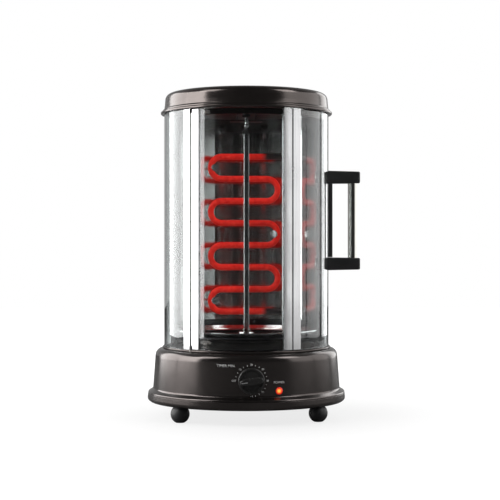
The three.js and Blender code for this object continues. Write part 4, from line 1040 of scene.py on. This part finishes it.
def arm_skin(height):
    """One arm: superellipse sections carried outwards, slimming from the foot and closing at the tip."""
    count = 40
    sides = 56
    travel = np.linspace(0, 1, count)
    reach = HANDLE_FOOT + (ARM_TIP - HANDLE_FOOT) * (1 - (1 - travel) ** 1.6)
    tip = np.clip((reach - (ARM_TIP - 2.4 * MM)) / (2.4 * MM), 0, 1)
    close = np.sqrt(np.maximum(1 - tip**2, 0.0))
    share = (reach - HANDLE_FOOT) / (ARM_TIP - HANDLE_FOOT)
    half_high = 9.45 * MM - 0.8 * MM * share - 2.2 * MM * (1 - close)
    half_wide = 8.45 * MM - 2.2 * MM * (1 - close)
    across, up = superellipse(half_wide, half_high, np.full(count, 11.0), sides)
    rows = np.stack([np.repeat(reach[:, None], sides, 1), across, up], -1)
    points, faces = lofted(rows)
    return outward(points, STILE_ANGLE, 0.0, height), faces


def upright_bar(half_thick, half_wide, low, high, reach, power=9.0):
    """A straight upright bar of superellipse section, centred at a distance from the spit."""
    levels = np.concatenate(
        [[low, low + 0.4 * MM], np.linspace(low + 1 * MM, high - 1 * MM, 7), [high - 0.4 * MM, high]]
    )
    ease = np.ones(len(levels))
    ease[[0, -1]] = 0.94
    across, up = superellipse(half_thick * ease, half_wide * ease, np.full(len(levels), power), 48)
    rows = np.stack([across, up, np.repeat(levels[:, None], 48, 1)], -1)
    points, faces = lofted(rows)
    return outward(points, STILE_ANGLE, reach, 0.0), faces


def build_handle():
    """Two arms, the tube between them, the bars outside and inside the door, and the screws through them."""
    black = FINISHES["plastic"]
    upper = node_middle("handle_arm_upper").z
    lower = node_middle("handle_arm_lower").z
    piece("arm_upper", arm_skin(upper), black, "door", ["handle_arm_upper"])
    piece("arm_lower", arm_skin(lower), black, "door", ["handle_arm_lower"])
    bottom, top = node_heights("handle_grip")
    radius = 7.1 * MM
    profile = rounded(
        [(0, bottom, 0), (radius, bottom, 0.8 * MM), (radius, top, 0.8 * MM), (0, top, 0)], closed=False,
    )
    points, faces = turned(profile, 96)
    placed = outward(points, STILE_ANGLE, ARM_TIP - 9.8 * MM, 0.0)
    piece("grip_tube", (placed, faces), FINISHES["chrome"], "door", ["handle_grip"])
    low, high = node_heights("handle_back_plate")
    backing = upright_bar(3.25 * MM, 8.5 * MM, low, high, HANDLE_FOOT + 3.25 * MM)
    piece("grip_backing", backing, black, "door", ["handle_back_plate"])
    low, high = node_heights("handle_inner_bar")
    outer = math.sqrt(POST_BACK**2 - (6 * MM) ** 2) - 0.3 * MM
    bar = upright_bar(2 * MM, 6 * MM, low, high, outer - 2 * MM)
    upper_block = upright_bar(4.25 * MM, 6 * MM, upper - (high - upper), high, outer - 4.25 * MM)
    lower_block = upright_bar(4.25 * MM, 6 * MM, low, lower + (lower - low), outer - 4.25 * MM)
    clamp = joined(bar, upper_block, lower_block)
    piece("clamp_bar", clamp, black, "door", ["handle_inner_bar"])
    for node, name in (("handle_screw_upper", "screw_upper"), ("handle_screw_lower", "screw_lower")):
        head = outer - 8.8 * MM
        end = HANDLE_FOOT + 9.5 * MM
        profile = [
            (0, head - 2 * MM, 0), (2.2 * MM, head - 2.1 * MM, 0.8 * MM),
            (3.6 * MM, head - 1.1 * MM, 0.5 * MM),
            (3.6 * MM, head, 0.1 * MM), (1.5 * MM, head, 0), (1.5 * MM, end, 0.4 * MM), (0, end, 0),
        ]
        points, faces = turned(rounded(profile, closed=False), 40)
        side_on = points[:, [2, 1, 0]] * np.array([1, 1, -1])
        placed = outward(side_on, STILE_ANGLE, 0.0, node_middle(node).z)
        piece(name, (placed, faces), FINISHES["chrome"], "door", [node])


# ------------------------------------------------------------------ roasting space


def build_tray():
    """Drip pan, turned: a raised collar round the drive, a sloping floor and a rolled rim."""
    top = node_heights("drip_tray")[1]
    radius = node_radius("drip_tray")
    floor = top - 12 * MM
    wall = 1 * MM
    upper = [
        (8.8 * MM, top - 4.2 * MM, 0.4 * MM), (11.4 * MM, top - 4.2 * MM, 1.2 * MM), (15 * MM, floor, 4 * MM),
        (radius * 0.5, floor + 0.4 * MM, 60 * MM), (radius - 15 * MM, floor, 5 * MM),
        (radius - 7 * MM, floor + 3.2 * MM, 8 * MM), (radius - 4 * MM, top - 0.1 * MM, 1.4 * MM),
        (radius, top, 1.1 * MM), (radius, top - 2.4 * MM, 0.5 * MM),
    ]
    lower = [
        (radius - wall, top - 2.4 * MM, 0.2 * MM), (radius - wall, top - wall, 0.8 * MM),
        (radius - 3.2 * MM, top - 1.3 * MM, 1 * MM), (radius - 6 * MM, floor + 2.4 * MM, 7 * MM),
        (radius - 14.6 * MM, floor - wall, 4 * MM), (radius * 0.5, floor - wall + 0.4 * MM, 60 * MM),
        (14.6 * MM, floor - wall, 4 * MM), (10.7 * MM, top - 5.2 * MM, 1 * MM),
        (8.8 * MM, top - 5.2 * MM, 0.2 * MM),
    ]
    solid = turned(rounded(upper + lower, steps=6), 160, (SPIT_X, SPIT_Y))
    piece("drip_pan", solid, FINISHES["steel"], "tray", ["drip_tray"])


def build_carrier():
    """Stand under the pan: an upright ring with a foot flange, turned."""
    bottom, top = node_heights("tray_carrier")
    outer = node_radius("tray_carrier")
    wall = 2 * MM
    body = outer - 8 * MM
    corners = [
        (body - wall, bottom, 0.2 * MM), (outer, bottom, 0.6 * MM), (outer, bottom + wall, 0.6 * MM),
        (body, bottom + wall, 1 * MM), (body, top, 0.6 * MM), (body - wall, top, 0.4 * MM),
    ]
    solid = turned(rounded(corners, steps=4), 144, (SPIT_X, SPIT_Y))
    piece("pan_stand", solid, FINISHES["trim"], "housing", ["tray_carrier"])


def square_socket_rows():
    """Outside and square inside of the drive socket as one skin, from the shaft bore up and back down."""
    bottom, top = node_heights("drive_socket")
    radius = node_radius("drive_socket")
    count = 64
    corners = [
        (3.3 * MM, bottom, 0.2 * MM),
        (radius - 0.8 * MM, bottom, 0.5 * MM),
        (radius, bottom + 1.2 * MM, 0.4 * MM),
        (radius, top - 1 * MM, 0.5 * MM),
        (radius - 0.8 * MM, top, 0.3 * MM),
        (5.95 * MM, top, 0.1 * MM),
    ]
    outside = rounded(corners, closed=False, steps=4)
    radii = list(outside[:, 0]) + [4.15 * MM] * 2
    levels = list(outside[:, 1]) + [top - 0.3 * MM, top - 6.3 * MM]
    powers = [2.0] * len(outside) + [9.0] * 2
    across, up = superellipse(radii, radii, powers, count)
    rows = np.stack([SPIT_X + across, SPIT_Y + up, np.repeat(np.array(levels)[:, None], count, 1)], -1)
    return lofted(rows)


def build_drive():
    """Square socket on the drive shaft, and the flanged bush in the floor that the shaft turns in."""
    piece("socket_collar", square_socket_rows(), FINISHES["chrome"], "drive", ["drive_socket"])
    bottom, top = node_heights("drive_bush")
    outer = node_radius("drive_bush")
    bore = 3.08 * MM
    corners = [
        (bore, bottom, 0.2 * MM), (outer - 3 * MM, bottom, 0.4 * MM), (outer - 3 * MM, top - 2 * MM, 0),
        (outer, top - 2 * MM, 0.4 * MM), (outer, top, 0.8 * MM), (bore, top, 0.4 * MM),
    ]
    bush = turned(rounded(corners, steps=4), 72, (SPIT_X, SPIT_Y))
    piece("shaft_bush", bush, FINISHES["brass"], "housing", ["drive_bush"])


def build_spit():
    """Square rod with eased corners; the section goes from square to round at the neck, ball and pin."""
    bottom, top = node_heights("spit_rod")
    half = node_radius("spit_rod")
    bracket = node_heights("spit_bracket")[0]
    ball = bracket - 5.4 * MM
    neck = ball - 5.4 * MM
    shoulder = neck - 6 * MM
    stations = [
        (bottom, half * 0.80, 8), (bottom + 1.2 * MM, half, 9), (bottom + 6 * MM, half, 9),
        (shoulder - 1 * MM, half, 9), (shoulder, half * 0.98, 8), (shoulder + 3 * MM, half * 0.78, 3.4),
        (neck, half * 0.6, 2), (ball - 2.6 * MM, half * 0.56, 2),
    ]
    ball_radius = 3.35 * MM
    for angle in np.radians([-44, -25, -8, 8, 25, 42, 54]):
        stations.append((ball + ball_radius * math.sin(angle), ball_radius * math.cos(angle), 2))
    stations += [(ball + 3.2 * MM, 2 * MM, 2), (top - 1 * MM, 2 * MM, 2), (top, 1.2 * MM, 2)]
    table = np.array(stations)
    across, up = superellipse(table[:, 1], table[:, 1], table[:, 2], 56)
    rows = np.stack([SPIT_X + across, SPIT_Y + up, np.repeat(table[:, :1], 56, 1)], -1)
    piece("spit", lofted(rows), FINISHES["spit"], "spit", ["spit_rod"], 30)


def heater_path():
    """Level runs joined by half circles: x = side (c + p/2 cos a), z = middle + p/2 sin a for each bend."""
    low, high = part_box("heater_tube")
    tube = 4.5 * MM
    runs = 8
    straight = 62 * MM
    lowest = low.z + tube
    highest = high.z - tube
    pitch = (highest - lowest) / (runs - 1)
    bend = (SPIT_X - low.x) - tube - pitch / 2
    plane = (low.y + high.y) / 2
    parts = [np.array([[high.x - SPIT_X, highest], [straight, highest]])]
    turn = np.radians(np.linspace(90, -90, 25))
    for run in range(runs - 1):
        side = -1 if run % 2 == 0 else 1
        middle = highest - (run + 0.5) * pitch
        across = side * (bend + pitch / 2 * np.cos(turn))
        parts.append(np.stack([across, middle + pitch / 2 * np.sin(turn)], -1))
    parts.append(np.array([[straight, lowest], [high.x - SPIT_X, lowest]]))
    line = np.concatenate(parts)
    return np.stack([SPIT_X + line[:, 0], np.full(len(line), plane), line[:, 1]], -1), tube


def build_heater():
    """Heater tube swept along its path, with the beads on its ends and the stays behind it turned."""
    path, tube = heater_path()
    coil = swept(path, tube, (0, 1, 0), 28)
    piece("heater_coil", coil, FINISHES["heater"], "housing", ["heater_tube"], 60)
    for node, name in (("insulator_upper", "bead_upper"), ("insulator_lower", "bead_lower")):
        low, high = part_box(node)
        centre = node_middle(node)
        radius = 7.5 * MM
        length = high.x - low.x
        profile = [
            (4.7 * MM, 0, 0.2 * MM),
            (radius, 0, 1.2 * MM),
            (radius, length * 0.4, 0.3 * MM),
            (radius - 1 * MM, length * 0.45, 0.3 * MM),
            (radius - 1 * MM, length, 0.8 * MM),
            (4.7 * MM, length, 0.2 * MM),
        ]
        points, faces = turned(rounded(profile, steps=4), 48)
        placed = laid(points, (1, 0, 0)) + np.array([low.x, centre.y, centre.z])
        piece(name, (placed, faces), FINISHES["ceramic"], "housing", [node])
    for node in ("heater_pin_upper", "heater_pin_middle", "heater_pin_lower"):
        low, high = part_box(node)
        centre = node_middle(node)
        length = high.y - low.y
        profile = [
            (0, 0, 0),
            (1.6 * MM, 0, 0),
            (1.6 * MM, length - 1.6 * MM, 0.2 * MM),
            (5.6 * MM, length - 1.6 * MM, 0.3 * MM),
            (5.6 * MM, length - 0.6 * MM, 0.3 * MM),
            (0, length, 0),
        ]
        points, faces = turned(rounded(profile, closed=False, steps=3), 40)
        placed = laid(points, (0, -1, 0)) + np.array([centre.x, high.y, centre.z])
        piece("stay_" + node, (placed, faces), FINISHES["steel"], "housing", [node])


def reflector_folds():
    """Fold lines of the reflector in plan: radius falls by a sine from its ends to its middle."""
    share = np.linspace(0, 1, 9)
    start = CLOSING_ANGLE + 3
    end = LEFT_REAR_ANGLE + 360 - 3
    radius = GLASS_RADIUS - 10.1 * MM - 20 * MM * np.sin(share * np.pi)
    angle = np.radians(start + (end - start) * share)
    return np.stack([SPIT_X + radius * np.sin(angle), SPIT_Y - radius * np.cos(angle)], -1)


def build_reflector():
    """Folded sheet: the fold lines and the same lines a sheet's thickness behind, raised to full height."""
    low, high = node_heights("reflector")
    folds = reflector_folds()
    along = np.gradient(folds, axis=0)
    along /= np.linalg.norm(along, axis=1)[:, None]
    back = folds + np.stack([along[:, 1], -along[:, 0]], -1) * 1.2 * MM
    fillet = np.full(len(folds), 1.6 * MM)
    front_corners = np.concatenate([folds, fillet[:, None]], 1)
    back_corners = np.concatenate([back, fillet[:, None]], 1)[::-1]
    front_corners[[0, -1], 2] = 0
    back_corners[[0, -1], 2] = 0
    outline = rounded(np.concatenate([front_corners, back_corners]), steps=4)
    solid = raised(outline, low, high)
    piece("reflector_sheet", solid, FINISHES["reflector"], "housing", ["reflector"], 50)


# ------------------------------------------------------------------ camera, light and floor


def unreflected(nodes, links):
    """One on rays that have met nothing but glass since the camera, so only those see the bright studio."""
    path = nodes.new("ShaderNodeLightPath")
    bounces = nodes.new("ShaderNodeMath")
    links.new(path.outputs["Glossy Depth"], bounces.inputs[0])
    links.new(path.outputs["Diffuse Depth"], bounces.inputs[1])
    none = nodes.new("ShaderNodeMath")
    none.operation = "LESS_THAN"
    none.inputs[1].default_value = 0.5
    links.new(bounces.outputs["Value"], none.inputs[0])
    return none.outputs["Value"]


def build_stage():
    """Camera before the oven, soft boxes round it, a surround graded from front to back, and a pale floor
    with painted light and shade in its glow: dimmer near the oven, brighter far out.
    """
    scene = bpy.context.scene
    distance = 1.858
    turn = math.radians(3)
    camera = bpy.data.objects.new("camera", bpy.data.cameras.new("camera"))
    scene.collection.objects.link(camera)
    camera.location = (SPIT_X - distance * math.sin(turn), SPIT_Y - distance * math.cos(turn), 0.2476)
    camera.rotation_euler = (math.pi / 2, 0, -turn)
    camera.data.lens = 92.1
    camera.data.shift_x = 0.0072
    camera.data.shift_y = -0.012
    camera.data.clip_start = 0.05
    scene.camera = camera
    scene.view_settings.view_transform = "Standard"

    world = bpy.data.worlds.new("studio")
    scene.world = world
    world.use_nodes = True
    nodes = world.node_tree.nodes
    links = world.node_tree.links
    sky = next(node for node in nodes if node.type == "BACKGROUND")
    direction = nodes.new("ShaderNodeSeparateXYZ")
    links.new(nodes.new("ShaderNodeTexCoord").outputs["Generated"], direction.inputs["Vector"])
    behind = nodes.new("ShaderNodeMapRange")
    behind.interpolation_type = "SMOOTHSTEP"
    behind.inputs["From Min"].default_value = -0.1
    behind.inputs["From Max"].default_value = 0.5
    behind.inputs["To Min"].default_value = 0.03
    behind.inputs["To Max"].default_value = 0.4
    links.new(direction.outputs["Y"], behind.inputs["Value"])
    seen = nodes.new("ShaderNodeMath")
    seen.operation = "MAXIMUM"
    links.new(unreflected(nodes, links), seen.inputs[0])
    links.new(behind.outputs["Result"], seen.inputs[1])
    links.new(seen.outputs["Value"], sky.inputs["Strength"])
    sky.inputs["Color"].default_value = (1, 1, 1, 1)

    lights = (
        ("left_rear_softbox", -114, 1.6, 0.45, 1.2, 1.6, 31),
        ("left_softbox", -77, 1.6, 0.45, 0.9, 1.6, 28),
        ("right_softbox", 68, 1.6, 0.45, 1.0, 1.6, 8),
        ("right_side_softbox", 102, 1.6, 0.45, 0.9, 1.6, 7),
        ("right_rear_softbox", 136, 1.6, 0.45, 0.7, 1.6, 8),
        ("left_top_softbox", -60, 1.5, 1.5, 0.8, 0.8, 9),
        ("right_top_softbox", 60, 1.5, 1.5, 0.8, 0.8, 9),
    )
    target = np.array([SPIT_X, SPIT_Y, 0.22])
    for name, angle, away, height, wide, high, power in lights:
        data = bpy.data.lights.new(name, "AREA")
        data.shape = "RECTANGLE"
        data.size = wide
        data.size_y = high
        data.energy = power
        lamp = bpy.data.objects.new(name, data)
        scene.collection.objects.link(lamp)
        turn = math.radians(angle)
        lamp.location = (SPIT_X + away * math.sin(turn), SPIT_Y - away * math.cos(turn), height)
        aim = target - np.array(lamp.location)
        flat = math.hypot(aim[0], aim[1])
        lamp.rotation_euler = (math.atan2(flat, -aim[2]), 0, math.atan2(aim[1], aim[0]) - math.pi / 2)

    half = 3.0
    corners = np.array([(-half, -half, 0), (half, -half, 0), (half, half, 0), (-half, half, 0)], float)
    mesh = bpy.data.meshes.new("floor")
    mesh.from_pydata(corners.tolist(), [], [(0, 1, 2, 3)])
    floor = bpy.data.objects.new("floor", mesh)
    scene.collection.objects.link(floor)
    pale = Finish("floor_paper", (0.93, 0.93, 0.93), roughness=0.6, Specular_IOR_Level=0.2)
    pale.shader.inputs["Emission Color"].default_value = (1, 1, 1, 1)
    distance = pale.nodes.new("ShaderNodeVectorMath")
    distance.operation = "LENGTH"
    pale.links.new(pale.place, distance.inputs[0])
    # Painted light and shade on the floor: the glow rises from 0.80 near the floor's middle, where the oven
    # stands, to 1.1 far out, so the floor is darker round the oven and brighter where the soft boxes fall
    # off.
    glow = pale.spread(distance.outputs["Value"], 0.80, 1.1, 0.15, 0.75)
    strength = pale.maths("MULTIPLY", glow, unreflected(pale.nodes, pale.links))
    pale.links.new(strength, pale.shader.inputs["Emission Strength"])
    pale.tint(pale.noise(3), (0.12, 0.12, 0.12), (0.14, 0.14, 0.14))
    mesh.materials.append(pale.material)


# ------------------------------------------------------------------ operators


def paint_carried_nodes():
    """Gives each CAD node that stays as it is its own finish."""
    for node, finish in CARRIED.items():
        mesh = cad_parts[node].data
        if mesh.materials:
            mesh.materials[0] = FINISHES[finish]
        else:
            mesh.materials.append(FINISHES[finish])


class ROTISSERIE_OT_stage(bpy.types.Operator):
    """Camera, soft light and a pale floor"""

    bl_idname = "rotisserie.stage"
    bl_label = "Stage"
    bl_options = {"REGISTER", "UNDO"}

    def execute(self, context):
        build_stage()
        return {"FINISHED"}


class ROTISSERIE_OT_finishes(bpy.types.Operator):
    """All materials, and those of the CAD pieces that stay"""

    bl_idname = "rotisserie.finishes"
    bl_label = "Finishes"
    bl_options = {"REGISTER", "UNDO"}

    def execute(self, context):
        make_finishes()
        paint_carried_nodes()
        return {"FINISHED"}


class ROTISSERIE_OT_base(bpy.types.Operator):
    """Oval housing with its rolled skirt, and the rubber feet"""

    bl_idname = "rotisserie.base"
    bl_label = "Base"
    bl_options = {"REGISTER", "UNDO"}

    def execute(self, context):
        build_base()
        build_feet()
        return {"FINISHED"}


class ROTISSERIE_OT_controls(bpy.types.Operator):
    """Timer knob, dial print, lamp and cord bush"""

    bl_idname = "rotisserie.controls"
    bl_label = "Controls"
    bl_options = {"REGISTER", "UNDO"}

    def execute(self, context):
        build_dial()
        build_knob()
        build_lamp()
        build_inlet()
        return {"FINISHED"}


class ROTISSERIE_OT_top(bpy.types.Operator):
    """Rings, cap and the bearing under it"""

    bl_idname = "rotisserie.top"
    bl_label = "Top"
    bl_options = {"REGISTER", "UNDO"}

    def execute(self, context):
        build_rings()
        build_cap()
        build_bearing()
        return {"FINISHED"}


class ROTISSERIE_OT_cage(bpy.types.Operator):
    """Fixed posts, back panel and all panes"""

    bl_idname = "rotisserie.cage"
    bl_label = "Cage"
    bl_options = {"REGISTER", "UNDO"}

    def execute(self, context):
        build_posts()
        build_rear_shell()
        build_panes()
        return {"FINISHED"}


class ROTISSERIE_OT_door(bpy.types.Operator):
    """Door bars, strips and pivots"""

    bl_idname = "rotisserie.door"
    bl_label = "Door"
    bl_options = {"REGISTER", "UNDO"}

    def execute(self, context):
        build_door_frame()
        return {"FINISHED"}


class ROTISSERIE_OT_handle(bpy.types.Operator):
    """Arms, grip, backing and screws"""

    bl_idname = "rotisserie.handle"
    bl_label = "Handle"
    bl_options = {"REGISTER", "UNDO"}

    def execute(self, context):
        build_handle()
        return {"FINISHED"}


class ROTISSERIE_OT_roasting_space(bpy.types.Operator):
    """Drip pan, stand, drive and spit"""

    bl_idname = "rotisserie.roasting_space"
    bl_label = "Roasting space"
    bl_options = {"REGISTER", "UNDO"}

    def execute(self, context):
        build_tray()
        build_carrier()
        build_drive()
        build_spit()
        return {"FINISHED"}


class ROTISSERIE_OT_heater(bpy.types.Operator):
    """Heater coil, beads, stays and reflector"""

    bl_idname = "rotisserie.heater"
    bl_label = "Heater"
    bl_options = {"REGISTER", "UNDO"}

    def execute(self, context):
        build_heater()
        build_reflector()
        return {"FINISHED"}


OPERATORS = (
    ROTISSERIE_OT_stage,
    ROTISSERIE_OT_finishes,
    ROTISSERIE_OT_base,
    ROTISSERIE_OT_controls,
    ROTISSERIE_OT_top,
    ROTISSERIE_OT_cage,
    ROTISSERIE_OT_door,
    ROTISSERIE_OT_handle,
    ROTISSERIE_OT_roasting_space,
    ROTISSERIE_OT_heater,
)


class ROTISSERIE_PT_panel(bpy.types.Panel):
    """Lists the sizes, colours and building steps."""

    bl_idname = "ROTISSERIE_PT_panel"
    bl_label = "Vertical rotisserie oven"
    bl_space_type = "VIEW_3D"
    bl_region_type = "UI"
    bl_category = "Rotisserie"

    def draw(self, context):
        chosen = context.scene.rotisserie_oven
        for name in OvenSettings.__annotations__:
            self.layout.prop(chosen, name)
        for kind in OPERATORS:
            self.layout.operator(kind.bl_idname)


CLASSES = (OvenSettings, *OPERATORS, ROTISSERIE_PT_panel)


def register():
    """Registers the settings, the operators and the panel."""
    for kind in CLASSES:
        bpy.utils.register_class(kind)
    bpy.types.Scene.rotisserie_oven = PointerProperty(type=OvenSettings)


def unregister():
    """Takes them away again, last first."""
    del bpy.types.Scene.rotisserie_oven
    for kind in reversed(CLASSES):
        bpy.utils.unregister_class(kind)


def main():
    """Runs every operator in order."""
    register()
    for kind in OPERATORS:
        getattr(bpy.ops.rotisserie, kind.bl_idname.split(".")[1])()


if __name__ == "__main__":
    main()
